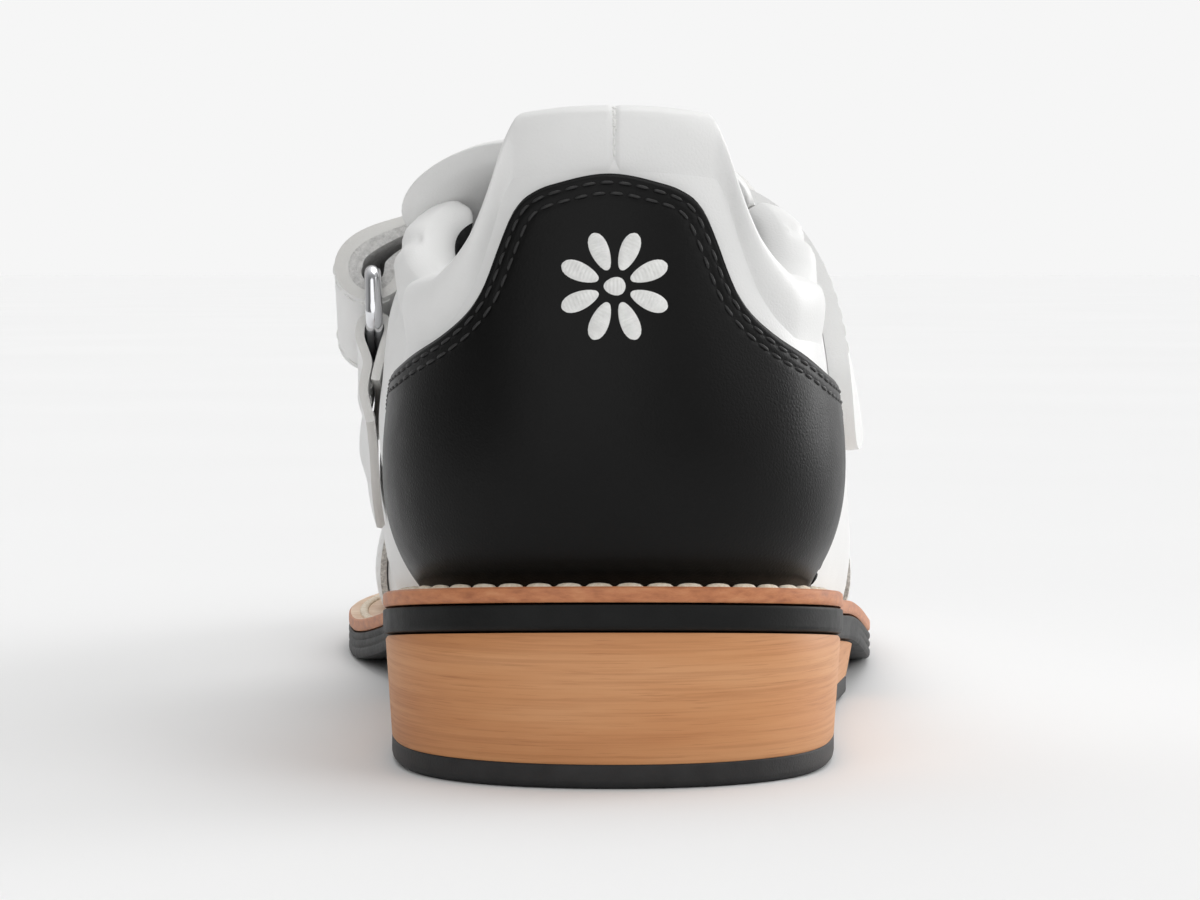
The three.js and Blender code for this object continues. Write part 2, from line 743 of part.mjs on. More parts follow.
// Collar: a lip outside the topline, a round crest over it and a pad inside. The crest has a point at each
// of its angles, and the pad's rows are shares of its thickness and its depth.
const crestDegrees = [150, 115, 80, 45, 15];
const padRows = [
  { thick: 1, deep: 0.25 },
  { thick: 0.85, deep: 0.6 },
  { thick: 0.15, deep: 1 },
  { thick: 0, deep: 1 },
  { thick: 0, deep: 0.5 },
  { thick: 0, deep: 0.25 },
];

function collarShape() {
  const inside = upperWall + padGap;
  const outside = -(lipGap + lipThickness);
  const far = inside + padThickness;
  const arch = crestDegrees.map((degrees) => {
    const angle = THREE.MathUtils.degToRad(degrees);
    return {
      inward: (outside + far) / 2 + Math.cos(angle) * (far - outside) / 2,
      above: rimGap + Math.sin(angle) * collarCrest,
    };
  });
  return [
    { inward: -lipGap, above: -lipDepth },
    { inward: outside, above: -lipDepth },
    { inward: outside, above: 0 },
    ...arch,
    ...padRows.map(({ thick, deep }) => ({ inward: inside + thick * padThickness, above: -deep * padDepth })),
    { inward: inside, above: rimGap },
    { inward: -lipGap, above: rimGap },
  ];
}

function collar() {
  const levelStep = 0.03;
  const shape = collarShape();
  const sections = heelTurns(facingTurn).map((turn) => {
    const rim = rimLevel(turn);
    const height = surfacePoint(turn, rim).z - ribAt(turn).foot.z;
    const edge = surfacePoint(turn, rim);
    const up = edge.clone().sub(surfacePoint(turn, rim - levelStep)).normalize();
    const normal = surfaceNormal(turn, rim);
    return shape.map(({ inward, above }) => {
      if (above >= 0) return edge.clone().addScaledVector(up, above).addScaledVector(normal, -inward);
      return offsetPoint(turn, levelAtHeight(turn, height + above), -inward);
    });
  });
  return sweptSolid(sections, shape);
}

// Tongue: a padded strip under the throat, from above the collar's ends to the vamp. Up to the turn
// tongueTuck it stands clear of the collar's crest, and from there on it is tucked under the throat.
const tongueStart = 0.158;
const tongueTuck = 0.178;
const tongueEnd = 0.325;

function tongue() {
  const stations = 12;
  const across = 4;
  const clearHeight = topline(facingTurn) * collarHeight + collarCrest + tongueRise;
  const flare = (turn) => tongueFlare * (1 - smoothstep(turn, tongueStart, facingTurn));
  const edgeLevel = (turn) => {
    const tucked = levelAtReach(turn, throat(fold(turn)), tongueOverlap);
    return fold(turn) < tongueTuck ? Math.max(tucked, levelAtHeight(turn, clearHeight)) : tucked;
  };
  const sheet = (offset) => Array.from({ length: stations + 1 }, (_, s) => {
    const folded = lerp(tongueStart, tongueEnd, s / stations);
    return Array.from({ length: 2 * across + 1 }, (__, i) => {
      const turn = i <= across ? folded : 1 - folded;
      const share = i <= across ? i / across : (2 * across - i) / across;
      const at = lerp(edgeLevel(turn), 1, share);
      const normal = surfaceNormal(turn, at);
      if (i === across) normal.add(surfaceNormal(1 - folded, at)).normalize();
      const lifted = flare(folded) * (i <= across ? 1 : lerp(tongueInnerFlare / tongueFlare, 1, share));
      return surfacePoint(turn, at).addScaledVector(normal, offset + lifted);
    });
  });
  const top = -(upperWall + tongueGap);
  return sheetSolid(sheet(top), sheet(top - tongueThickness));
}

// The strap runs in planes square to the sloping ridge of the instep. A plane's profile is the upper's
// outline in it, measured from the ridge: negative to the outer side and positive to the inner side.
const ridgeDirection = vector(0, Math.cos(strapTilt), -Math.sin(strapTilt));
const planeUp = vector(0, Math.sin(strapTilt), Math.cos(strapTilt));

const ridgePoint = (y) => ribAt(lastPlace(0, 0.5, (turn) => ribCurves.along(turn) * soleLength < y)).ridge;
const strapPlane = (share) => ridgePoint(strapAlong).dot(ridgeDirection) + share * strapWidth / 2;

// A profile has its points closer together at its foot, between the turns that a plane can cross
const lowestLevel = 0.01;
const footPower = 1.6;
const planeTurns = { low: 0.09, high: 0.45 };
const tangentStep = 3;

function planeProfile(plane) {
  const levels = 30;
  const sidePoints = (side) => Array.from({ length: levels + 1 }, (_, i) => {
    const at = lerp(lowestLevel, 1, (i / levels) ** footPower);
    const behind = (turn) => surfacePoint(side * turn, at).dot(ridgeDirection) < plane;
    const point = surfacePoint(side * lastPlace(planeTurns.low, planeTurns.high, behind), at);
    return new THREE.Vector2(point.x, point.dot(planeUp));
  });
  const outer = sidePoints(1);
  const inner = sidePoints(-1);
  const points = [...outer, ...inner.reverse().slice(1)];
  const lengths = [0];
  for (let i = 1; i < points.length; i += 1) {
    lengths.push(lengths[i - 1] + points[i].distanceTo(points[i - 1]));
  }
  const start = lengths[levels];
  const place = (reach) => {
    const length = clamp(reach + start, 0, lengths[lengths.length - 1]);
    let i = 0;
    while (i < points.length - 2 && length > lengths[i + 1]) i += 1;
    return points[i].clone().lerp(points[i + 1], (length - lengths[i]) / (lengths[i + 1] - lengths[i]));
  };
  const tangent = (reach) => place(reach + tangentStep).sub(place(reach - tangentStep)).normalize();
  const outward = (reach) => {
    const along = tangent(reach);
    return new THREE.Vector2(-along.y, along.x).multiplyScalar(-1);
  };
  const at = (reach, offset) => place(reach).addScaledVector(outward(reach), offset);
  return { at, outward, tangent };
}

const fromPlane = (point, plane) => vector(point.x, 0, 0)
  .addScaledVector(planeUp, point.y)
  .addScaledVector(ridgeDirection, plane);

// The centres of the ring's two long bars in a plane are on straight lines between the strap's edges
const edgeProfiles = [-1, 1].map((share) => planeProfile(strapPlane(share)));
const ringLowReach = ringFromRidge + ringHeight;

function barPoint(share, reach, standoff) {
  const ends = edgeProfiles.map((profile) => profile.at(reach, standoff));
  return ends[0].lerp(ends[1], (share + 1) / 2);
}

// Both faces of a band from its centre line in one plane
function bandFaces(centres, thickness) {
  return centres.map((centre, i) => {
    const before = centres[Math.max(i - 1, 0)];
    const after = centres[Math.min(i + 1, centres.length - 1)];
    const along = after.clone().sub(before).normalize();
    const side = new THREE.Vector2(-along.y, along.x).multiplyScalar(thickness / 2);
    return [centre.clone().add(side), centre.clone().sub(side)];
  });
}

// A band's columns lie side by side; each is a centre line in the plane of its share of the strap's width
function bandSolid(shares, centreLine, thickness) {
  const columns = shares.map((share) => {
    const plane = strapPlane(share);
    return bandFaces(centreLine(share, planeProfile(plane)), thickness)
      .map((pair) => pair.map((point) => fromPlane(point, plane)));
  });
  const face = (k) => columns[0].map((_, row) => columns.map((column) => column[row][k]));
  return sheetSolid(face(0), face(1));
}

const roundedEnd = (share) => strapTipRound * (1 - Math.sqrt(Math.max(1 - share * share, 0)));
const columnShares = (count, limit) => Array.from({ length: count + 1 }, (_, i) => (
  -limit * Math.cos(Math.PI * i / count)
));

// A half circle round a bar, from the side next to the shoe by way of below or above to the far side
function halfCircle(centre, outward, down, radius, steps) {
  return Array.from({ length: steps + 1 }, (_, i) => {
    const angle = Math.PI * i / steps;
    return centre.clone()
      .addScaledVector(outward, -radius * Math.cos(angle))
      .addScaledVector(down, radius * Math.sin(angle));
  });
}

// Points along each stretch of the strap and of the tab
const strapSteps = { under: 20, loop: 8, over: 13, columns: 6 };
const tabSteps = { inner: 3, bend: 6, outer: 8 };
const strapEdge = 0.999;

function strap() {
  const near = strapGap + strapThickness / 2;
  const doubled = near + strapThickness + fitGap;
  const loopReach = ringFromRidge - loopUp;
  const centreLine = (share, profile) => {
    const bar = barPoint(share, ringFromRidge, ringStandoff);
    const outward = profile.outward(ringFromRidge);
    const down = profile.tangent(ringFromRidge);
    const middle = bar.addScaledVector(down, -loopUp).addScaledVector(outward, loopOut);
    const standoff = middle.clone().sub(profile.at(ringFromRidge, 0)).dot(outward);
    const start = -strapOuterReach + roundedEnd(share);
    const under = Array.from({ length: strapSteps.under + 1 }, (_, i) => {
      const reach = lerp(start, loopReach - 1, i / strapSteps.under);
      const merged = smoothstep(reach, loopReach - loopMerge, loopReach);
      return profile.at(reach, lerp(near, standoff - loopRadius, merged));
    });
    const end = -strapFreeReach + roundedEnd(share);
    const over = Array.from({ length: strapSteps.over + 1 }, (_, i) => {
      const reach = lerp(loopReach - 1, end, i / strapSteps.over);
      const merged = smoothstep(reach, loopReach - loopMerge, loopReach);
      return profile.at(reach, lerp(doubled, standoff + loopRadius, merged));
    });
    return [...under, ...halfCircle(middle, outward, down, loopRadius, strapSteps.loop), ...over];
  };
  return bandSolid(columnShares(strapSteps.columns, strapEdge), centreLine, strapThickness);
}

function ringTab() {
  const near = strapGap + tabThickness / 2;
  const doubled = near + tabThickness + fitGap;
  const bend = ringWire / 2 + fitGap + tabThickness / 2;
  const widthShare = tabWidth / strapWidth;
  const centreLine = (share, profile) => {
    const bar = barPoint(share, ringLowReach, lowStandoff);
    const outward = profile.outward(ringLowReach);
    const up = profile.tangent(ringLowReach).multiplyScalar(-1);
    const standoff = bar.clone().sub(profile.at(ringLowReach, 0)).dot(outward);
    const inner = Array.from({ length: tabSteps.inner + 1 }, (_, i) => {
      const reach = lerp(ringLowReach + tabInnerLeg, ringLowReach + 2 * tabMergeRoom, i / tabSteps.inner);
      const merged = smoothstep(reach, ringLowReach, ringLowReach + tabInnerLeg);
      return profile.at(reach, lerp(standoff - bend, near, merged));
    });
    const last = ringLowReach + lerp(tabRearReach, tabFrontReach, (share + 1) / 2);
    const outer = Array.from({ length: tabSteps.outer + 1 }, (_, i) => {
      const reach = lerp(ringLowReach + 2 * tabMergeRoom, last, i / tabSteps.outer);
      const legEnd = ringLowReach + tabInnerLeg;
      const merged = smoothstep(reach, ringLowReach + tabMergeRoom, legEnd + 3 * tabMergeRoom);
      const down = smoothstep(reach, legEnd + tabMergeRoom, legEnd + tabInnerLeg);
      return profile.at(reach, lerp(lerp(standoff + bend, doubled, merged), near, down));
    });
    return [...inner, ...halfCircle(bar, outward, up, bend, tabSteps.bend), ...outer];
  };
  return bandSolid([-1, -0.5, 0, 0.5, 1].map((share) => share * widthShare), centreLine, tabThickness);
}

// The wire ring: a rounded rectangle whose long bars lie along the strap's planes
function strapRing() {
  const past = 1 + (ringSideRoom + ringWire / 2) / (strapWidth / 2);
  const corner = (share, reach, standoff) => (
    fromPlane(barPoint(share, reach, standoff), strapPlane(share))
  );
  const corners = [
    corner(-past, ringFromRidge, ringStandoff),
    corner(past, ringFromRidge, ringStandoff),
    corner(past, ringLowReach, lowStandoff),
    corner(-past, ringLowReach, lowStandoff),
  ];
  const path = corners.flatMap((point, i) => {
    const before = corners[(i + 3) % 4].clone().sub(point).normalize();
    const after = corners[(i + 1) % 4].clone().sub(point).normalize();
    return [0, 0.25, 0.5, 0.75, 1].map((u) => point.clone()
      .addScaledVector(before, ringCorner * (1 - u) ** 2)
      .addScaledVector(after, ringCorner * u ** 2));
  });
  const flat = corners[1].clone().sub(corners[0]).cross(corners[3].clone().sub(corners[0])).normalize();
  const rows = path.map((point, i) => {
    const before = path[(i + path.length - 1) % path.length];
    const along = path[(i + 1) % path.length].clone().sub(before).normalize();
    const side = along.clone().cross(flat).normalize();
    const lift = side.clone().cross(along).normalize();
    return Array.from({ length: wireSides }, (_, k) => {
      const angle = 2 * Math.PI * k / wireSides;
      return point.clone()
        .addScaledVector(side, Math.cos(angle) * ringWire / 2)
        .addScaledVector(lift, Math.sin(angle) * ringWire / 2);
    });
  });
  return ringSolid(rows);
}

// Materials
const finish = (color, roughness, metalness = 0) => (
  new THREE.MeshStandardMaterial({ color, roughness, metalness })
);
const whiteLeather = finish(0xe9e8e6, 0.45);
const blackLeather = finish(0x171717, 0.4);
const blackRubber = finish(0x1f2121, 0.7);
const wood = finish(0xab7d59, 0.6);
const weltLeather = finish(0xb9794c, 0.6);
const boardLeather = finish(0x2a2a2a, 0.8);
const chrome = finish(0xd8dadd, 0.12, 1);

// The shoe
const pieces = [
  ['heel_lift', heelLift, blackRubber],
  ['wood_heel', woodHeel, wood],
  ['outsole', outsole, blackRubber],
  ['welt', welt, weltLeather],
  ['insole', insole, boardLeather],
  ['upper', upper, whiteLeather],
  ['vamp', vamp, whiteLeather],
  ['heel_counter', heelCounter, blackLeather],
  ['collar', collar, whiteLeather],
  ['tongue', tongue, whiteLeather],
  ['strap', strap, whiteLeather],
  ['strap_ring', strapRing, chrome],
  ['ring_tab', ringTab, whiteLeather],
];

const shoe = new THREE.Group();
for (const [name, build, material] of pieces) {
  const mesh = new THREE.Mesh(build(), material);
  mesh.name = name;
  shoe.add(mesh);
}

// The origin is below the middle of the whole shoe, on the floor
const middle = new THREE.Box3().setFromObject(shoe).getCenter(vector(0, 0, 0));
shoe.position.set(-middle.x, -middle.y, 0);

export default shoe;
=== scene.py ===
import math

import bmesh
import bpy
import numpy as np
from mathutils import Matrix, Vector
from mathutils.bvhtree import BVHTree

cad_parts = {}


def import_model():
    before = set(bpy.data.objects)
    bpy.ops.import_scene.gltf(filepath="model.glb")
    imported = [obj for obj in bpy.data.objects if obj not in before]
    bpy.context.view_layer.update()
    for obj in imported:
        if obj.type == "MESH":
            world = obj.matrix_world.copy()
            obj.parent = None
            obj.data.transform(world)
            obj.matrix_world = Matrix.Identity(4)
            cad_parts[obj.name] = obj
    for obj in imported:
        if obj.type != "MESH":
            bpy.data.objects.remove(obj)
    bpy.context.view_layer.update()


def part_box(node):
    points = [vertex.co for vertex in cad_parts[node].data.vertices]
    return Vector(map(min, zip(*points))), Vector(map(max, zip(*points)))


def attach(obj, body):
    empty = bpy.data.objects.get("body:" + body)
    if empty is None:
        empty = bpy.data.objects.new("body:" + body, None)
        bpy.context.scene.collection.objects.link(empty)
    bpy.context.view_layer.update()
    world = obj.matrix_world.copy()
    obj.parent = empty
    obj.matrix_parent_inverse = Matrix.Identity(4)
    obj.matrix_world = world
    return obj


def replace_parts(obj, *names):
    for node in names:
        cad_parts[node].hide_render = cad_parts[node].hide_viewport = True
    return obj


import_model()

# Sizes in millimetres, the same as in the part's source
SOLE_LENGTH = 300
BALL_WIDTH = 106.6
HEEL_WIDTH = 75
LIFT_THICKNESS = 3.8
LIFT_CHAMFER = 1.2
WOOD_HEIGHT = 20.2
WOOD_INSET = 0.4
WOOD_TAPER = 1
HEEL_PITCH = 0.118
HEEL_LENGTH = 110
BREAST_HOLLOW = 6
RUBBER_AT_HEEL = 4
RUBBER_AT_BALL = 5.3
SOLE_EDGE = 0.8
TOE_SPRING = 11
WELT_THICKNESS = 2.4
WELT_MARGIN = 6.5
GROOVE_WIDTH = 2.6
GROOVE_DEPTH = 1.4
GROOVE_PITCH = 9.5
GROOVE_MARGIN = 9
UPPER_WALL = 2.2
INSTEP_HEIGHT = 88
COLLAR_HEIGHT = 72
HEEL_FULLNESS = 7
FULLNESS_RISE = 20
COUNTER_THICKNESS = 1.3
COUNTER_HEIGHT = 61.4
COUNTER_SHIFT = 0.8
VAMP_THICKNESS = 1.6
INSOLE_THICKNESS = 3
TONGUE_THICKNESS = 5
TONGUE_OVERLAP = 5
TONGUE_START = 0.158
TONGUE_END = 0.325
PAD_THICKNESS = 6.6
PAD_DEPTH = 27
LIP_THICKNESS = 1.4
LIP_DEPTH = 3.6
COLLAR_CREST = 3.4
STRAP_WIDTH = 38
STRAP_THICKNESS = 3.4
STRAP_TILT = math.radians(24)
STRAP_ALONG = 128
STRAP_OUTER_REACH = 69
STRAP_TIP_ROUND = 13
STRAP_FREE_REACH = 22
LOOP_RADIUS = 5.1
LOOP_OUT = 0.9
LOOP_UP = 1.15
LOOP_MERGE = 14
RING_FROM_RIDGE = 47
RING_STANDOFF = 8.4
LOW_STANDOFF = 3.9
RING_HEIGHT = 7.9
RING_WIRE = 3
RING_SIDE_ROOM = 0.8
RING_CORNER = 3
TAB_THICKNESS = 1.6
TAB_WIDTH = 34
TAB_INNER_LEG = 9
TAB_REAR_REACH = 16.3
TAB_FRONT_REACH = 26.3
FIT_GAP = 0.3
STRAP_GAP = 0.65
TONGUE_GAP = 1.3
PAD_GAP = 1.2
RIM_GAP = 0.6
FACING_TURN = 0.172

# The sole's outline by turn: across as a share of half the heel's or the ball's width, along of the length
OUTLINE = (
    # turn, across, along, of the ball's width
    (0.0, 0.0, 0.0, 0), (0.027, 0.493, 0.0127, 0), (0.051, 0.827, 0.0483, 0),
    (0.083, 0.984, 0.12, 0), (0.1235, 1.008, 0.2133, 0), (0.164, 1.075, 0.3067, 0),
    (0.205, 1.205, 0.4, 0), (0.248, 0.93, 0.4967, 1), (0.29, 0.985, 0.5933, 1),
    (0.327, 0.985, 0.68, 1), (0.365, 0.915, 0.7667, 1), (0.407, 0.746, 0.8567, 1),
    (0.444, 0.506, 0.93, 1), (0.479, 0.184, 0.9867, 1), (0.5, -0.074, 1.0, 1),
    (0.518, -0.276, 0.9833, 1), (0.54, -0.497, 0.95, 1), (0.573, -0.737, 0.89, 1),
    (0.606, -0.893, 0.82, 1), (0.642, -0.99, 0.74, 1), (0.68, -1.0, 0.6533, 1),
    (0.721, -0.92, 0.56, 1), (0.763, -0.792, 0.4667, 1), (0.8, -1.0, 0.3867, 0),
    (0.834, -0.933, 0.3067, 0), (0.875, -0.96, 0.2133, 0), (0.917, -0.984, 0.12, 0),
    (0.949, -0.827, 0.0483, 0), (0.973, -0.493, 0.0127, 0),
)
TREAD_START = 0.627
TREAD_END = 0.787
THICKENING_START = 0.2
THICKENING_END = 0.633

# Ribs of the last by folded turn
RIBS = {
    "turn": (0, 0.083, 0.13, 0.164, 0.205, 0.248, 0.29, 0.34, 0.43, 0.5),
    "outer_inset": (1.2, 1.34, 1.12, 0.85, 0.82, 0.89, 1.1, 1.12, 1.12, 1.15),
    "inner_inset": (1.2, 1.34, 1.12, 0.85, 0.95, 1.25, 1.5, 1.45, 1.2, 1.15),
    "outer_bulge": (1, 1.1, 0.9, 0.62, 0.42, 0.45, 0.42, 0.42, 0.41, 0.4),
    "inner_bulge": (1, 1.05, 1.1, 1.65, 1.7, 1.2, 0.4, 0.4, 0.4, 0.4),
    "rise": (1.1, 1.1, 1.3, 1.7, 1.7, 1.2, 0.75, 0.6, 0.55, 0.5),
}
RIDGE = {
    "turn": (0, 0.083, 0.13, 0.164, 0.183, 0.205, 0.248, 0.29, 0.34, 0.43, 0.5),
    "along": (0.15, 0.155, 0.227, 0.307, 0.35, 0.4, 0.497, 0.585, 0.593, 0.593, 0.593),
    "across": (0, 0, 0.02, 0.02, 0.02, 0.02, -0.02, -0.07, -0.075, -0.075, -0.075),
    "height": (1.25, 1.24, 1.1, 0.91, 0.867, 0.836, 0.784, 0.75, 0.745, 0.745, 0.745),
    "outer_arch": (2.5, 2.4, 2.3, 3.5, 3.7, 3.6, 2.7, 1.95, 2, 2.3, 2.6),
    "inner_arch": (2.5, 2.4, 2.5, 3.9, 2.8, 2.5, 2.7, 1.95, 2, 2.3, 2.6),
    "slope": (0, 0, 0.04, 0.06, 0.07, 0.08, 0.12, 0.15, 0.25, 0.4, 0.5),
}
TOPLINE = {
    "turn": (0, 0.0285, 0.0318, 0.0335, 0.0357, 0.0388, 0.0445, 0.052,
             0.07, 0.1, 0.125, 0.145, 0.172, 0.2, 0.5),
    "height": (0.975, 0.967, 0.915, 0.85, 0.782, 0.72, 0.667, 0.637,
               0.64, 0.67, 0.7, 0.76, 0.93, 1.2, 2),
}
THROAT = {
    "turn": (0, 0.172, 0.19, 0.215, 0.248, 0.29, 0.34, 0.5),
    "reach": (0.8, 0.76, 0.55, 0.36, 0.24, 0.16, 0.11, 0.06),
}
# Edge of the counter from behind, its front from the side and the vamp's rear from the side
BELL = {
    "across": (0, 0.23, 0.32, 0.37, 0.42, 0.46, 0.5, 0.56, 0.66, 0.78, 0.9, 1.02, 1.3),
    "up": (1, 0.972, 0.945, 0.91, 0.84, 0.77, 0.71, 0.655, 0.6, 0.55, 0.49, 0.44, 0.4),
}
COUNTER_FRONT = {"along": (0.12, 0.16, 0.2, 0.228, 0.245, 0.25), "up": (0.395, 0.37, 0.32, 0.24, 0.12, -0.2)}
VAMP_REAR = {
    "along": (0.628, 0.626, 0.622, 0.614, 0.604, 0.596, 0.592, 0.59),
    "up": (-0.2, 0, 0.12, 0.3, 0.5, 0.66, 0.74, 1),
}


def smoothstep(x, low, high):
    u = np.clip((np.asarray(x, float) - low) / (high - low), 0, 1)
    return u * u * (3 - 2 * u)


def hermite(x0, y0, m0, x1, y1, m1, x):
    span = x1 - x0
    u = (x - x0) / span
    rest = 1 - u
    return (y0 * rest * rest * (1 + 2 * u) + m0 * span * u * rest * rest
            + y1 * u * u * (3 - 2 * u) - m1 * span * u * u * rest)


def table_curve(at, value):
    """A curve through a table that never overshoots its rows."""
    at, value = np.array(at, float), np.array(value, float)
    step = np.diff(value) / np.diff(at)
    slope = np.zeros(len(at))
    before, after = step[:-1], step[1:]
    total = np.where(before + after == 0, 1, before + after)
    slope[1:-1] = np.where(before * after <= 0, 0, 2 * before * after / total)

    def curve(x):
        x = np.clip(x, at[0], at[-1])
        i = np.clip(np.searchsorted(at, x) - 1, 0, len(at) - 2)
        return hermite(at[i], value[i], slope[i], at[i + 1], value[i + 1], slope[i + 1], x)

    return curve


def closed_curve(at, value):
    """A smooth closed curve through values at the given turns."""
    at, value = np.array(at, float), np.array(value, float)
    n = len(at)
    span = np.diff(np.append(at, 1 + at[0]))
    rise = np.roll(value, -1) - value
    matrix, pull = np.zeros((n, n)), np.zeros(n)
    for i in range(n):
        h, j = (i - 1) % n, (i + 1) % n
        matrix[i, h] = 1 / span[h]
        matrix[i, i] = 2 / span[h] + 2 / span[i]
        matrix[i, j] = 1 / span[i]
        pull[i] = 3 * (rise[h] / span[h] ** 2 + rise[i] / span[i] ** 2)
    slope = np.linalg.solve(matrix, pull)

    def curve(turn):
        t = np.asarray(turn, float) % 1.0
        i = np.searchsorted(at, t, side="right") - 1
        j = (i + 1) % n
        return hermite(at[i], value[i], slope[i], at[i] + span[i], value[j], slope[j], t)

    return curve


half_widths = [BALL_WIDTH / 2 if row[3] else HEEL_WIDTH / 2 for row in OUTLINE]
outline_turns = [row[0] for row in OUTLINE]
outline_x = closed_curve(outline_turns, [row[1] * half for row, half in zip(OUTLINE, half_widths)])
outline_y = closed_curve(outline_turns, [row[2] * SOLE_LENGTH for row in OUTLINE])


def outline_normal(turn):
    step = 0.002
    dx = outline_x(turn + step) - outline_x(turn - step)
    dy = outline_y(turn + step) - outline_y(turn - step)
    size = np.hypot(dx, dy)
    return dy / size, -dx / size


def outline_point(turn, inset):
    nx, ny = outline_normal(turn)
    return outline_x(turn) - nx * inset, outline_y(turn) - ny * inset


HEEL_HEIGHT = LIFT_THICKNESS + WOOD_HEIGHT + FIT_GAP


def sole_bottom(y):
    y = np.asarray(y, float)
    tread, spring = TREAD_START * SOLE_LENGTH, TREAD_END * SOLE_LENGTH
    ramp = HEEL_HEIGHT - HEEL_PITCH * y
    shank = hermite(HEEL_LENGTH, HEEL_HEIGHT - HEEL_PITCH * HEEL_LENGTH, -HEEL_PITCH, tread, 0.0, 0.0, y)
    toe = TOE_SPRING * (np.maximum(y - spring, 0) / (SOLE_LENGTH - spring)) ** 2
    return np.where(y <= HEEL_LENGTH, ramp, np.where(y <= tread, shank, toe))


def sole_top(y):
    thick = smoothstep(np.asarray(y) / SOLE_LENGTH, THICKENING_START, THICKENING_END)
    return sole_bottom(y) + RUBBER_AT_HEEL + (RUBBER_AT_BALL - RUBBER_AT_HEEL) * thick


def welt_bottom(y):
    return sole_top(y) + FIT_GAP


def welt_top(y):
    return welt_bottom(y) + WELT_THICKNESS


def feather_height(y):
    return welt_top(y) + FIT_GAP


def fold(turn):
    t = np.asarray(turn, float) % 1.0
    return np.minimum(t, 1 - t)


rib_curves = {name: table_curve(table["turn"], table[name])
              for table in (RIBS, RIDGE) for name in table if name != "turn"}
topline = table_curve(TOPLINE["turn"], TOPLINE["height"])
throat = table_curve(THROAT["turn"], THROAT["reach"])


def by_side(name, turn):
    outer, inner = (rib_curves[f"{side}_{name}"](fold(turn)) for side in ("outer", "inner"))
    return np.where(np.asarray(turn, float) % 1.0 < 0.5, outer, inner)


def foot_of(turn):
    x, y = outline_point(turn, by_side("inset", turn) * WELT_MARGIN)
    return x, y, feather_height(y)


def ridge_of(turn):
    folded = fold(turn)
    y = rib_curves["along"](folded) * SOLE_LENGTH
    x = rib_curves["across"](folded) * BALL_WIDTH / 2
    return x, y, feather_height(y) + rib_curves["height"](folded) * INSTEP_HEIGHT


def surface(turn, level):
    """The upper's surface: level 0 is the feather edge and level 1 the ridge of the instep."""
    turn, level = np.broadcast_arrays(np.asarray(turn, float), np.asarray(level, float))
    foot, ridge = foot_of(turn), ridge_of(turn)
    angle = np.clip(level, 0, 1) * math.pi / 2
    power = 2 / by_side("arch", turn)
    lift = np.sin(angle) ** power
    lean = 1 - np.maximum(np.cos(angle), 0) ** power
    slope = rib_curves["slope"](fold(turn))
    climb = (1 - slope) * lift + slope * lean
    x = foot[0] + (ridge[0] - foot[0]) * lean
    y = foot[1] + (ridge[1] - foot[1]) * lean
    z = foot[2] + (ridge[2] - foot[2]) * climb
    rise = (z - foot[2]) / (rib_curves["rise"](fold(turn)) * FULLNESS_RISE)
    push = by_side("bulge", turn) * HEEL_FULLNESS * rise * np.exp(1 - rise)
    nx, ny = outline_normal(turn)
    return np.stack([x + nx * push, y + ny * push, z], -1)


def unit(v):
    return v / np.maximum(np.linalg.norm(v, axis=-1, keepdims=True), 1e-12)


def surface_normal(turn, level):
    turn, level = np.broadcast_arrays(np.asarray(turn, float), np.asarray(level, float))
    low = np.clip(level - 0.015, 0, 0.97)
    along = surface(turn + 0.003, level) - surface(turn - 0.003, level)
    up = surface(turn, low + 0.03) - surface(turn, low)
    return unit(np.cross(along, up))


def offset_surface(turn, level, offset):
    return surface(turn, level) + surface_normal(turn, level) * np.asarray(offset)[..., None]


def bisect(test, shape, low=0.0, high=1.0):
    """The last value for which the test still holds, for each entry."""
    low, high = np.full(shape, low), np.full(shape, high)
    for _ in range(30):
        middle = (low + high) / 2
        holds = test(middle)
        low, high = np.where(holds, middle, low), np.where(holds, high, middle)
    return low


def level_at_height(turn, height):
    foot_z = foot_of(turn)[2]
    return bisect(lambda level: surface(turn, level)[..., 2] - foot_z < height, np.shape(turn))


def level_at_reach(turn, share, more=0):
    foot, ridge = foot_of(turn), ridge_of(turn)
    span = np.hypot(foot[0] - ridge[0], foot[1] - ridge[1])

    def outside(level):
        point = surface(turn, level)
        return np.hypot(point[..., 0] - ridge[0], point[..., 1] - ridge[1]) > share * span + more

    return bisect(outside, np.shape(turn))


def rim_level(turn):
    turn = np.asarray(turn, float)
    side = level_at_height(turn, topline(fold(turn)) * COLLAR_HEIGHT)
    return np.minimum(side, level_at_reach(turn, throat(fold(turn))))


def lengths_of(line):
    """The way along a line from its start to each of its points."""
    return np.concatenate([[0], np.cumsum(np.linalg.norm(np.diff(line, axis=0), axis=1))])


def at_lengths(line, lengths, at):
    """A line's rows, or those of values given along it, at some lengths."""
    return np.stack([np.interp(at, lengths, column) for column in line.T], -1)


def resampled(line, count):
    """The same line with its points evenly apart."""
    lengths = lengths_of(line)
    return at_lengths(line, lengths, np.linspace(0, lengths[-1], count))


def smoothed(line, passes):
    for _ in range(passes):
        line[1:-1] = 0.5 * line[1:-1] + 0.25 * (line[:-2] + line[2:])
    return line


# The frame's place of the model's own origin, in millimetres
fine_turns = np.linspace(0, 1, 720, endpoint=False)
welt_low, welt_high = (np.array(corner) * 1000 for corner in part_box("welt"))
centre_x = (outline_x(fine_turns).min() + outline_x(fine_turns).max()) / 2
SHIFT = np.array([(welt_low[0] + welt_high[0]) / 2 - centre_x, welt_low[1], 0.0])


def placed(points):
    return (np.asarray(points, float) + SHIFT) / 1000


# Materials


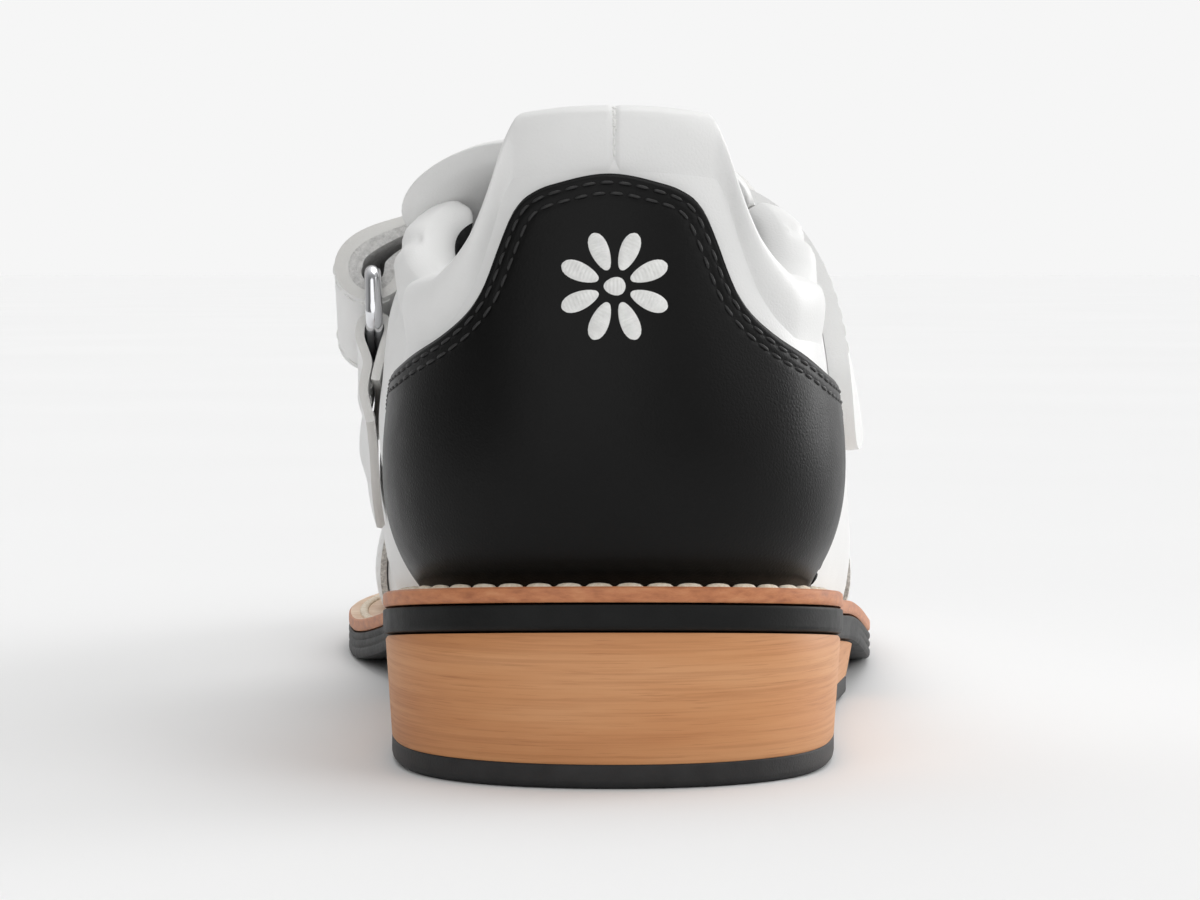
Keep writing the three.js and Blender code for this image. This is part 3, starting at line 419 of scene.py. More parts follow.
def linear(*color):
    """A colour of 0 to 255 per channel as linear values with full alpha."""
    shares = [channel / 255 for channel in color]
    return (*[((s + 0.055) / 1.055) ** 2.4 if s > 0.04045 else s / 12.92 for s in shares], 1)


def put(tree, socket, value):
    if isinstance(value, bpy.types.NodeSocket):
        tree.links.new(value, socket)
    else:
        socket.default_value = value


def add_node(tree, kind, **sockets):
    """A new node: each named socket is linked to another node's socket or given a plain value."""
    node = tree.nodes.new(kind)
    for name, value in sockets.items():
        put(tree, node.inputs[name.replace("_", " ")], value)
    return node


class Shader:
    """A material with one Principled shader, built up from noise in the object's own coordinates."""

    def __init__(self, name, color, roughness, **sockets):
        self.material = bpy.data.materials.new(name)
        self.material.use_nodes = True
        self.tree = self.material.node_tree
        self.shader = self.tree.nodes["Principled BSDF"]
        self.coordinates = self.node("ShaderNodeTexCoord").outputs["Object"]
        self.height = None
        self.give(Base_Color=linear(*color), Roughness=roughness, **sockets)

    def give(self, **sockets):
        """Link or set sockets of the Principled shader itself."""
        for name, value in sockets.items():
            put(self.tree, self.shader.inputs[name.replace("_", " ")], value)

    def node(self, kind, **sockets):
        return add_node(self.tree, kind, **sockets)

    def stretched(self, *scale):
        return self.node("ShaderNodeMapping", Vector=self.coordinates, Scale=scale).outputs["Vector"]

    def noise(self, scale, detail=3.0, rough=0.5, vector=None):
        node = self.node("ShaderNodeTexNoise", Vector=vector or self.coordinates, Scale=scale, Detail=detail,
                         Roughness=rough)
        return node.outputs["Fac"]

    def cells(self, scale, feature="DISTANCE_TO_EDGE"):
        node = self.node("ShaderNodeTexVoronoi", Vector=self.coordinates, Scale=scale)
        node.feature = feature
        return node.outputs["Distance"]

    def ramp(self, factor, *stops):
        node = self.node("ShaderNodeValToRGB", Fac=factor)
        elements = node.color_ramp.elements
        while len(elements) < len(stops):
            elements.new(0.5)
        for element, (position, color) in zip(elements, stops):
            element.position = position
            element.color = linear(*color)
        return node.outputs["Color"]

    def multiplied(self, factor, first, second):
        node = self.node("ShaderNodeMix")
        node.data_type = "RGBA"
        node.blend_type = "MULTIPLY"
        for number, value in ((0, factor), (6, first), (7, second)):
            put(self.tree, node.inputs[number], value)
        return node.outputs[2]

    def rough(self, factor, low, high):
        node = self.node("ShaderNodeMapRange", Value=factor, To_Min=low, To_Max=high)
        self.give(Roughness=node.outputs["Result"])

    def bump(self, factor, strength, distance):
        node = self.node("ShaderNodeBump", Height=factor, Strength=strength, Distance=distance)
        if self.height is not None:
            put(self.tree, node.inputs["Normal"], self.height)
        self.height = node.outputs["Normal"]
        self.give(Normal=self.height)


def mottled(name, color, roughness, noise, stops, bump=None, **sockets):
    """A material whose colour follows a noise; bump is a noise with its strength and its depth in metres."""
    shader = Shader(name, color, roughness, **sockets)
    shader.give(Base_Color=shader.ramp(shader.noise(*noise), *stops))
    if bump:
        shader.bump(shader.noise(*bump[0]), *bump[1:])
    return shader


def leather(name, deep, light, roughness, grain, **sockets):
    stops = ((0.3, deep), (0.7, light))
    shader = mottled(name, light, roughness, (35, 4), stops, ((60, 3), 0.08, 0.0006), **sockets)
    shader.rough(shader.noise(220, 3), roughness - 0.06, roughness + 0.08)
    shader.bump(shader.cells(1500), grain, 0.00012)
    shader.bump(shader.noise(5200, 2), grain, 0.00005)
    return shader


white = leather("white_leather", (224, 224, 223), (232, 232, 231), 0.42, 0.3, Coat_Weight=0.08,
                Coat_Roughness=0.35)
rim = leather("leather_rim", (205, 204, 201), (226, 225, 222), 0.6, 0.5)
black = leather("black_leather", (7, 7, 7), (13, 13, 13), 0.4, 0.45, Coat_Weight=0.04, Coat_Roughness=0.28,
                Specular_IOR_Level=0.14)
lining = mottled("black_lining", (20, 20, 21), 0.85, (700, 2), ((0.35, (12, 12, 13)), (0.7, (32, 32, 33))))
lining.bump(lining.cells(1100, "F1"), 0.5, 0.0003)
raw = mottled("raw_edge", (196, 194, 190), 0.8, (1600, 4, 0.7),
              ((0.3, (150, 147, 143)), (0.65, (222, 219, 214))), ((2400, 3, 0.7), 0.8, 0.0004))
black_raw = mottled("black_raw_edge", (30, 29, 29), 0.9, (2200, 4, 0.7),
                    ((0.35, (10, 10, 10)), (0.75, (64, 62, 60))), ((2600, 3, 0.7), 0.9, 0.0004))
pile = mottled("strap_pile", (214, 213, 211), 0.95, (900, 5, 0.75),
               ((0.32, (186, 185, 183)), (0.66, (232, 231, 229))), ((1300, 5, 0.8), 0.8, 0.0006),
               Sheen_Weight=0.4)
welt_top_leather = mottled("welt_top", (226, 198, 172), 0.6, (160, 5, 0.6),
                           ((0.25, (206, 166, 132)), (0.7, (234, 210, 186))), ((1900, 4), 0.4, 0.0002))
thread = mottled("cream_thread", (226, 208, 182), 0.75, (1500, 3),
                 ((0.3, (218, 200, 176)), (0.7, (244, 234, 218))), ((2600, 2), 0.6, 0.0002))
black_thread = mottled("black_thread", (12, 12, 12), 0.45, (1800, 2), ((0.3, (7, 7, 7)), (0.7, (26, 26, 26))))
white_thread = mottled("white_thread", (222, 222, 220), 0.55, (900, 2),
                       ((0.3, (224, 224, 222)), (0.7, (236, 236, 234))), ((2600, 2), 0.2, 0.0001))
# Near-black discs stand in for the counter's pinholes: their colour is painted shade of the holes' depth
pinhole_shade = mottled("pinhole_painted_shade", (4, 4, 4), 0.9, (900, 2), ((0.3, (2, 2, 2)), (0.7, (8, 8, 8))))
rubber = mottled("black_rubber", (34, 35, 36), 0.5, (120, 5), ((0.3, (11, 12, 12)), (0.7, (19, 20, 20))),
                 ((2200, 3), 0.25, 0.00015), Specular_IOR_Level=0.2)
rubber.rough(rubber.noise(400, 4), 0.4, 0.62)
lift_rubber = mottled("lift_rubber", (46, 46, 47), 0.6, (260, 5),
                      ((0.3, (18, 18, 19)), (0.7, (33, 33, 34))), ((2600, 3), 0.35, 0.0002))

welt_edge = Shader("welt_edge", (178, 117, 78), 0.5)
fibres = welt_edge.noise(1.0, 5, 0.6, welt_edge.stretched(300, 300, 900))
tan = welt_edge.ramp(fibres, (0.25, (158, 94, 58)), (0.5, (188, 120, 78)), (0.78, (206, 144, 100)))
welt_edge.give(Base_Color=tan)
welt_edge.rough(fibres, 0.4, 0.62)
welt_edge.bump(fibres, 0.35, 0.0003)

wood = Shader("heel_wood", (176, 128, 92), 0.5)
broad = wood.noise(1.0, 4, 0.55, wood.stretched(14, 14, 95))
grain = wood.noise(1.0, 6, 0.65, wood.stretched(26, 26, 1500))
pores = wood.noise(1.0, 3, 0.5, wood.stretched(110, 110, 3600))
body = wood.ramp(broad, (0.25, (188, 124, 74)), (0.5, (204, 144, 94)), (0.78, (217, 163, 116)))
lines = wood.ramp(grain, (0.38, (206, 182, 160)), (0.5, (246, 240, 234)), (0.66, (255, 255, 255)))
dots = wood.ramp(pores, (0.3, (204, 180, 158)), (0.4, (255, 255, 255)))
wood.give(Base_Color=wood.multiplied(0.35, wood.multiplied(0.35, body, lines), dots))
wood.rough(grain, 0.62, 0.46)
wood.bump(grain, 0.2, 0.0002)
wood.bump(pores, 0.2, 0.0001)

chrome = Shader("ring_chrome", (226, 227, 230), 0.08, Metallic=1.0)
chrome.rough(chrome.noise(900, 3), 0.05, 0.16)


# Meshes


def make(name, points, quads, materials, indices=None, sharp=35):
    """A smooth mesh on the shoe's one body; edges where faces turn by more than sharp degrees stay sharp."""
    mesh = bpy.data.meshes.new(name)
    faces = [tuple(dict.fromkeys(face)) for face in quads]
    kept = [i for i, face in enumerate(faces) if len(face) > 2]
    mesh.from_pydata(placed(points).tolist(), [], [faces[i] for i in kept])
    for shader in materials:
        mesh.materials.append(shader.material)
    if indices is not None:
        mesh.polygons.foreach_set("material_index", [int(indices[i]) for i in kept])
    mesh.polygons.foreach_set("use_smooth", [True] * len(mesh.polygons))
    build = bmesh.new()
    build.from_mesh(mesh)
    bmesh.ops.remove_doubles(build, verts=build.verts, dist=1e-7)
    bmesh.ops.recalc_face_normals(build, faces=build.faces)
    limit = math.radians(sharp)
    for edge in build.edges:
        edge.smooth = len(edge.link_faces) == 2 and edge.calc_face_angle(0.0) < limit
    build.to_mesh(mesh)
    build.free()
    item = bpy.data.objects.new(name, mesh)
    bpy.context.collection.objects.link(item)
    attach(item, "root")
    return item


def grid_faces(rows, columns, closed=False, start=0):
    """Quads of a grid of points, row by row."""
    r = np.arange(rows - 1)[:, None]
    c = np.arange(columns if closed else columns - 1)[None, :]
    d = (c + 1) % columns
    quads = np.stack([r * columns + c, r * columns + d, (r + 1) * columns + d, (r + 1) * columns + c], -1)
    return (quads.reshape(-1, 4) + start).tolist()


def loft(rows, closed=True):
    """Points and quads of rows that are closed loops; the last row joins the first if closed."""
    points = np.concatenate([*rows, rows[0]] if closed else rows)
    return points, grid_faces(len(rows) + (1 if closed else 0), len(rows[0]), True)


def capped_faces(rows, sides, start=0):
    """Faces of closed loops above each other, with both ends capped."""
    first = list(range(start, start + sides))
    last = [corner + (rows - 1) * sides for corner in first]
    return grid_faces(rows, sides, True, start) + [first[::-1], last]


def shell(outer, inner, closed=False, swell=0.0):
    """Two skins joined round their edges: index 0 outside, 1 inside, 2 and 3 the edge's two halves."""
    rows, columns = outer.shape[:2]
    behind = rows * columns
    faces = grid_faces(rows, columns, closed)
    back = grid_faces(rows, columns, closed, behind)
    index = [0] * len(faces) + [1] * len(back)
    faces += [face[::-1] for face in back]
    grid = np.arange(behind).reshape(rows, columns)
    if closed:
        loops = [[*grid[0].tolist(), 0], [*grid[-1, ::-1].tolist(), behind - 1]]
    else:
        loops = [np.concatenate([grid[0], grid[1:, -1], grid[-1, -2::-1], grid[-2::-1, 0]]).tolist()]
    middle = ((outer + inner) / 2 - inward_of(outer, closed) * swell).reshape(-1, 3)
    edge = []
    for loop in loops:
        first = 2 * behind + len(edge)
        edge += [middle[place] for place in loop]
        for m, (a, b) in enumerate(zip(loop, loop[1:]), first):
            faces += [[a, b, m + 1, m], [m, m + 1, b + behind, a + behind]]
            index += [2, 3]
    return np.concatenate([outer.reshape(-1, 3), inner.reshape(-1, 3), edge]), faces, index


def inward_of(skin, closed):
    """At the border points of a skin, the direction to its inside."""
    inward = np.zeros_like(skin)
    inward[0] += unit(skin[1] - skin[0])
    inward[-1] += unit(skin[-2] - skin[-1])
    if not closed:
        inward[:, 0] += unit(skin[:, 1] - skin[:, 0])
        inward[:, -1] += unit(skin[:, -2] - skin[:, -1])
    return inward


def plate(name, rows, shader):
    """Loops above each other, closed at both ends by rungs from the outer to the inner side."""
    n = len(rows[0])
    top = (len(rows) - 1) * n
    points, faces = loft(rows, closed=False)
    for i in range(n // 2):
        rung = [i, i + 1, (n - i - 1) % n, (n - i) % n]
        faces += [rung[::-1], [corner + top for corner in rung]]
    return make(name, points, faces, [shader], None)


def fine_loop(count):
    """Turns round the sole, closer together round the heel's back and the same on both sides."""
    share = np.linspace(0, 1, count + 1)
    half = 0.5 * (0.55 * share + 0.45 * share ** 1.9)
    return np.concatenate([half, 1 - half[1:-1][::-1]])


loop_turns = fine_loop(260)


def layer(inset, height):
    x, y = outline_point(loop_turns, inset)
    return np.stack([x, y, height(y)], -1)


def edge_layers(levels, lower, upper):
    """Rows of an edge: a level is its inset and its share of the way from the lower to the upper height."""
    return [layer(inset, lambda y, s=share: lower(y) + s * (upper(y) - lower(y))) for inset, share in levels]


# Fine grooves along the outsole's side, at shares of its height, and the rounding of those across its tread
SIDE_GROOVES = (0.42, 0.72)
SIDE_GROOVE_SHARE = 0.055
SIDE_GROOVE_DEPTH = 0.28
GROOVE_ROUNDING = 0.3


def cut_groove(item, y):
    """Cut one groove with rounded edges across the tread."""
    side = fine_turns[fine_turns < 0.5]
    outer = np.interp(y, outline_y(side), outline_x(side))
    inner = np.interp(y, outline_y(1 - side), outline_x(1 - side))
    reach = (outer - inner) / 2 - GROOVE_MARGIN
    low, middle, high = (float(sole_bottom(y + part * GROOVE_WIDTH / 2)) for part in (-1, 0, 1))
    mesh = bpy.data.meshes.new("groove")
    build = bmesh.new()
    bmesh.ops.create_cube(build, size=0.001)
    bmesh.ops.scale(build, verts=build.verts, vec=(2 * reach, GROOVE_WIDTH, 2 * GROOVE_DEPTH))
    bmesh.ops.bevel(build, geom=build.edges[:], offset=GROOVE_ROUNDING / 1000, segments=2, affect="EDGES")
    build.to_mesh(mesh)
    build.free()
    cutter = bpy.data.objects.new("groove", mesh)
    cutter.rotation_euler[0] = math.atan2(high - low, GROOVE_WIDTH)
    cutter.location = placed([(outer + inner) / 2, y, middle])
    bpy.context.collection.objects.link(cutter)
    cut = item.modifiers.new("groove", "BOOLEAN")
    cut.object = cutter
    cut.solver = "EXACT"
    bpy.context.view_layer.update()
    result = bpy.data.meshes.new_from_object(item.evaluated_get(bpy.context.evaluated_depsgraph_get()))
    item.modifiers.clear()
    item.data = result
    bpy.data.objects.remove(cutter)


def outsole():
    forefoot = smoothstep(outline_y(loop_turns), 118, 160)
    levels = [(SOLE_EDGE, 0.0), (0.28, 0.05), (0.03, 0.15)]
    levels += [(0.0, share) for share in np.linspace(0.2, 0.92, 19)] + [(0.08, 0.97), (0.3, 1.0)]
    carved = []
    for inset, share in levels:
        dips = np.exp(-((share - np.array(SIDE_GROOVES)) / SIDE_GROOVE_SHARE) ** 2).sum()
        carved.append((inset + SIDE_GROOVE_DEPTH * dips * forefoot, share))
    item = plate("fine_outsole", edge_layers(carved, sole_bottom, sole_top), rubber)
    first = TREAD_START * SOLE_LENGTH + GROOVE_PITCH / 2
    for i in range(math.floor((SOLE_LENGTH - GROOVE_MARGIN * 2 - first) / GROOVE_PITCH)):
        cut_groove(item, first + i * GROOVE_PITCH)
    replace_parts(item, "outsole")


def heel_rows(levels):
    """Loops round the heel block with its hollowed breast, a circle of the heel's width."""
    rows = []
    radius = HEEL_WIDTH
    centre = HEEL_LENGTH - BREAST_HOLLOW + radius
    for inset, height in levels:
        ends = []
        for side in (1, -1):
            def before(turn, side=side):
                x, y = outline_point(side * turn, inset)
                return y < centre - np.sqrt(np.maximum(radius ** 2 - x ** 2, 0))
            ends.append(side * float(bisect(before, (), 0.02, 0.25)))
        share = np.linspace(0, 1, 121) ** 1.3
        outer, inner = share * ends[0], share * ends[1]
        x0, y0 = outline_point(outer, inset)
        x1, y1 = outline_point(inner[1:], inset)
        across = np.linspace(x0[-1], x1[-1], 62)[1:-1]
        breast = centre - np.sqrt(radius ** 2 - across ** 2)
        x = np.concatenate([x0, across, x1[::-1]])
        y = np.concatenate([y0, breast, y1[::-1]])
        rows.append(np.stack([x, y, height(y)], -1))
    return rows


def heel_block(name, node, levels, shader):
    rows = heel_rows(levels)
    faces = capped_faces(len(rows), len(rows[0]))
    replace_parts(make(name, np.concatenate(rows), faces, [shader], None), node)


def heel():
    low = WOOD_INSET + WOOD_TAPER
    lift = [(low + LIFT_CHAMFER, 0.0), (low + 0.45 * LIFT_CHAMFER, 0.3 * LIFT_CHAMFER),
            (low + 0.1, 0.75 * LIFT_CHAMFER), (low, 1.15 * LIFT_CHAMFER),
            (low, LIFT_THICKNESS - 0.25), (low + 0.2, LIFT_THICKNESS)]
    levels = [(inset, lambda y, z=z: 0 * y + z) for inset, z in lift]
    heel_block("fine_heel_lift", "heel_lift", levels, lift_rubber)
    steps = [(low + 0.25, 0.0), (low, 0.02)]
    steps += [(low - WOOD_TAPER * s, s) for s in (0.25, 0.5, 0.75, 0.97)] + [(WOOD_INSET + 0.3, 1.0)]
    levels = [(inset, lambda y, s=s: LIFT_THICKNESS + s * (sole_bottom(y) - FIT_GAP - LIFT_THICKNESS))
              for inset, s in steps]
    heel_block("fine_wood_heel", "wood_heel", levels, wood)


def board_inset(turn):
    return by_side("inset", turn) * WELT_MARGIN + UPPER_WALL + 4 * FIT_GAP


def welt():
    """A burnished edge, rows 0 to 5, and a paler top, rows 6 to 10, with a groove for the stitches."""
    inner = board_inset(loop_turns) - FIT_GAP
    levels = [(0.35, 0.0), (0.05, 0.14), (0.0, 0.3), (0.0, 0.5), (0.0, 0.7), (0.06, 0.88), (0.4, 1.0)]
    levels += [(2.2, 1.0), (2.7, 0.9), (3.6, 0.9), (4.1, 1.0)]
    rows = edge_layers(levels, welt_bottom, welt_top) + [layer(inner, welt_top), layer(inner, welt_bottom)]
    points, faces = loft(rows)
    index = [int(6 <= k // len(loop_turns) <= 10) for k in range(len(faces))]
    item = make("fine_welt", points, faces, [welt_edge, welt_top_leather], index)
    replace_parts(item, "welt")


def insole():
    inset = board_inset(loop_turns)
    rows = [layer(inset, welt_bottom), layer(inset, lambda y: feather_height(y) + INSOLE_THICKNESS - 0.6),
            layer(inset + 0.7, lambda y: feather_height(y) + INSOLE_THICKNESS)]
    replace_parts(plate("fine_insole", rows, lining), "insole")


# Creases of the leather: side is +1 for the outer side, then along and height of both ends, depth, width
CREASES = (
    (-1, 98, 88, 84, 71, 1.2, 2.0), (-1, 92, 80, 80, 86, 0.9, 1.8), (-1, 74, 70, 92, 58, 0.5, 3.6),
    (1, 84, 88, 99, 76, 1.2, 2.0), (1, 94, 82, 103, 70, 0.8, 2.2), (1, 66, 72, 88, 60, 0.5, 3.8),
    (-1, 150, 30, 168, 56, 0.4, 4.0), (1, 146, 30, 164, 56, 0.45, 4.5),
    (1, 206, 18, 214, 46, 0.6, 3.2), (-1, 214, 18, 222, 44, 0.6, 3.2),
    (1, 194, 22, 201, 52, 0.5, 2.6), (-1, 202, 22, 209, 50, 0.5, 2.6),
)


def crease_depth(points):
    """How deep the creases press a point of the upper in, by side, along and height."""
    depth = np.zeros(points.shape[:-1])
    side = np.sign(points[..., 0])
    place = points[..., 1:]
    for sign, y0, z0, y1, z1, deep, wide in CREASES:
        start, end = np.array([y0, z0]), np.array([y1, z1])
        way = end - start
        share = np.clip(((place - start) @ way) / (way @ way), 0, 1)
        gap = np.linalg.norm(place - (start + share[..., None] * way), axis=-1)
        fade = 0.35 + 0.65 * np.sin(math.pi * np.clip(share, 0.05, 0.95))
        ridge = 0.35 * np.exp(-((gap - 1.8 * wide) / wide) ** 2)
        depth += (side == sign) * deep * fade * (np.exp(-(gap / wide) ** 2) - ridge)
    return depth


def creased(turn, level, offset):
    base = surface(turn, level)
    normal = surface_normal(turn, level)
    return base + normal * (np.asarray(offset) - crease_depth(base))[..., None]


def levelled(points):
    points[0, :, 2] = feather_height(points[0, :, 1])
    return points


def upper():
    share = (1 - (1 - np.linspace(0, 1, 57)) ** 1.35)[:, None]
    level = rim_level(loop_turns)[None, :] * share
    turn = np.broadcast_to(loop_turns, level.shape)
    outer = levelled(creased(turn, level, 0.0))
    inner = levelled(creased(turn, level, -UPPER_WALL))
    points, faces, index = shell(outer, inner, closed=True, swell=0.2)
    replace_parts(make("fine_upper", points, faces, [white, lining, raw, raw], index), "upper")


bell = table_curve(BELL["across"], BELL["up"])
front_along = np.array(COUNTER_FRONT["along"]) * SOLE_LENGTH
front_height = feather_height(front_along) + np.array(COUNTER_FRONT["up"]) * INSTEP_HEIGHT


def counter_top(points):
    """The height of the counter's edge where a point of the upper is."""
    base = feather_height(0.0)
    behind = base + COUNTER_HEIGHT * bell(np.abs(points[..., 0] + COUNTER_SHIFT) / (HEEL_WIDTH / 2))
    side = np.interp(points[..., 1], front_along, front_height)
    side = np.where(points[..., 1] < front_along[0], 200.0, side)
    return np.minimum(behind, side)


def edge_distance(points, border):
    """Distance of each point to a border of points."""
    flat = points.reshape(-1, 3)
    best = np.full(len(flat), 1e9)
    for start in range(0, len(border), 64):
        gaps = np.linalg.norm(flat[:, None, :] - border[None, start:start + 64, :], axis=-1)
        best = np.minimum(best, gaps.min(1))
    return best.reshape(points.shape[:-1])


# The turn where the counter ends on either side
COUNTER_TURN = 0.1672
# How far inside their edges the rows of stitches run
COUNTER_SEAMS = (1.5, 3.2)
VAMP_SEAM = 3.0
WELT_SEAM = 3.15


def counter():
    """The black heel counter: returns its edge, on the outer skin, with the surface's normals."""
    share = np.linspace(-1, 1, 321)
    turn = COUNTER_TURN * np.sign(share) * (1 - (1 - np.abs(share)) ** 1.15)
    top = bisect(lambda level: surface(turn, level)[..., 2] < counter_top(surface(turn, level)), turn.shape)
    rows = 1 - (1 - np.linspace(0, 1, 64)) ** 1.5
    level = top[None, :] * rows[:, None]
    turns = np.broadcast_to(turn, level.shape)
    skin = FIT_GAP + COUNTER_THICKNESS
    base = offset_surface(turns, level, skin)
    border = base[-1]
    gap = edge_distance(base, border)
    press = 0.35 * np.exp(-(gap / 0.5) ** 2)
    for line in COUNTER_SEAMS:
        press += 0.16 * np.exp(-((gap - line) / 0.35) ** 2)
    press = press * (level > 0)
    outer = levelled(offset_surface(turns, level, skin - press))
    inner = levelled(offset_surface(turns, level, FIT_GAP))
    points, faces, index = shell(outer, inner, swell=0.15)
    looks = [black, lining, black_raw, black_raw]
    item = make("fine_heel_counter", points, faces, looks, index)
    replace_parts(item, "heel_counter")
    return item, border, surface_normal(turn, top)


def vamp_rear_along(height):
    along = np.array(VAMP_REAR["along"]) * SOLE_LENGTH
    up = feather_height(along) + np.array(VAMP_REAR["up"]) * INSTEP_HEIGHT
    return np.interp(height, up, along)


def vamp():
    """The raw-edged overlay of the forefoot: returns its two rear edges with the surface's normals."""
    share = 1 - (1 - np.linspace(0, 1, 49)) ** 1.35
    ends = []
    for side in (1, -1):
        def behind(turn, side=side):
            point = surface(side * turn, rim_level(side * turn) * share)
            return point[..., 1] < vamp_rear_along(point[..., 2])
        ends.append(bisect(behind, share.shape, 0.1, 0.48))
    columns = 0.5 - 0.5 * np.cos(math.pi * np.linspace(0, 1, 261))
    columns = 0.5 * columns + 0.5 * np.linspace(0, 1, 261)
    turns = ends[0][:, None] + ((1 - ends[1]) - ends[0])[:, None] * columns[None, :]
    level = rim_level(turns) * share[:, None]
    skin = FIT_GAP + VAMP_THICKNESS
    base = offset_surface(turns, level, skin)
    border = np.concatenate([base[:, 0], base[:, -1]])
    gap = edge_distance(base, border)
    press = 0.3 * np.exp(-(gap / 0.6) ** 2) + 0.18 * np.exp(-((gap - VAMP_SEAM) / 0.5) ** 2)
    outer = levelled(creased(turns, level, skin - press))
    inner = levelled(creased(turns, level, FIT_GAP))
    points, faces, index = shell(outer, inner, swell=0.12)
    item = make("fine_vamp", points, faces, [white, raw, raw, raw], index)
    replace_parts(item, "vamp")
    return [(outer[:, k], surface_normal(turns[:, k], level[:, k])) for k in (0, -1)]


# The collar's seam at the back, and how far its front ends rise and thin out
SEAM_DEPTH = 0.55
SEAM_WIDTH = 0.5
END_RISE = 2.6
END_SLIMMING = 0.4
# The crown's angle, in degrees, below which the collar is lined in black
LINED_BELOW = 48


def collar_profile(lip, inside):
    """Round the collar's section: how far inward and above the rim, whether lined, whether puffed up."""
    reach = LIP_DEPTH + 5.4
    profile = []
    for s in np.linspace(0, 1, 9):
        profile.append((0.25 - (lip + 0.25) * smoothstep(s, 0, 1), -reach * (1 - s), 0, 0))
    middle, half = (PAD_THICKNESS + inside - lip) / 2, (PAD_THICKNESS + inside + lip) / 2
    for degrees in np.linspace(168, 12, 17):
        angle = math.radians(degrees)
        above = RIM_GAP + math.sin(angle) * COLLAR_CREST
        profile.append((middle + math.cos(angle) * half, above, int(degrees <= LINED_BELOW), 1))
    for s in np.linspace(0.04, 1, 15):
        bulge = PAD_THICKNESS * (1 - smoothstep(s, 0.25, 1.0) * 0.86)
        profile.append((inside + bulge, -s * PAD_DEPTH, 1, 1))
    profile += [(inside, -s * PAD_DEPTH, 1, 0) for s in np.linspace(1, 0.05, 9)]
    profile += [(inside, RIM_GAP, 1, 0), (0.2, RIM_GAP, 0, 0)]
    return profile + [(-0.1, RIM_GAP - 0.4, 0, 0), (-0.05, -1.5, 0, 0)]


def collar():
    """A padded roll over the topline, lined in black inside, with a closing seam up its back."""
    share = np.linspace(-1, 1, 341)
    turn = FACING_TURN * np.sign(share) * np.abs(share) ** 1.25
    rim_at = rim_level(turn)
    edge = surface(turn, rim_at)
    height = edge[:, 2] - foot_of(turn)[2]
    up = unit(edge - surface(turn, rim_at - 0.03))
    normal = surface_normal(turn, rim_at)
    way = lengths_of(edge)
    from_end = np.minimum(way, way[-1] - way)
    round_off = np.sqrt(1 - (1 - np.clip(from_end / 5, 0, 1)) ** 2)
    crest = 0.25 + 0.75 * round_off
    crest = crest + END_RISE / COLLAR_CREST * round_off * (1 - smoothstep(from_end, 6, 24))
    slim = 1 - END_SLIMMING * (1 - smoothstep(from_end, 8, 26))
    inside = UPPER_WALL + PAD_GAP
    profile = collar_profile(FIT_GAP + LIP_THICKNESS + 0.3, inside)
    rows = []
    for inward, above, lined, soft in profile:
        pressed = 0.8 if inward < 0.3 else 0.0
        if soft and inward > inside:
            inward = inside + (inward - inside) * (0.15 + 0.85 * round_off) * slim
        elif soft and inward > 0:
            inward = inward * slim
        inward = np.broadcast_to(np.asarray(inward, float), turn.shape)
        if above >= 0:
            lift = np.broadcast_to(above * crest if soft else above, turn.shape)
            point = edge + up * lift[:, None] - normal * inward[:, None]
        else:
            point = offset_surface(turn, level_at_height(turn, height + above), -inward)
        seam = SEAM_DEPTH * np.exp(-(point[:, 0] / SEAM_WIDTH) ** 2) * (1 - lined)
        rows.append(point - normal * (crease_depth(point) * pressed + seam)[:, None])
    count, columns = len(rows), len(turn)
    faces = grid_faces(count + 1, columns)
    index = [profile[k // (columns - 1)][2] for k in range(len(faces))]
    for column in (0, columns - 1):
        faces.append([r * columns + column for r in range(count)])
        index.append(0)
    points = np.concatenate([*rows, rows[0]])
    item = make("fine_collar", points, faces, [white, lining], index, 60)
    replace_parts(item, "collar")
    return item


# The tongue's free rear edge, from the outer side over the ridge to the inner side
TONGUE_EDGE = (
    # across, along, height
    (22.5, 101, 86.5), (25, 98.5, 89.5), (24, 95.5, 93), (20.5, 93, 96.2), (14, 91, 98.8), (5, 90, 100.4),
    (-6, 90, 101), (-15, 90.5, 100.9), (-22.5, 91.5, 100.4), (-29, 93, 98), (-34.3, 94.5, 94.5),
    (-37.2, 96.5, 90.5), (-37.4, 98.5, 87), (-34, 101, 84),
)
# The share of the tongue's length that its rolled rear end takes
ROLL_SHARE = 0.2
# Half its columns, its rows, the rows and the turn of its closed front, and rear rows that are white below too
TONGUE_COLUMNS = 32
TONGUE_ROWS = 97
FRONT_ROWS = 30
FRONT_TURN = 0.499
WHITE_ROWS = 12


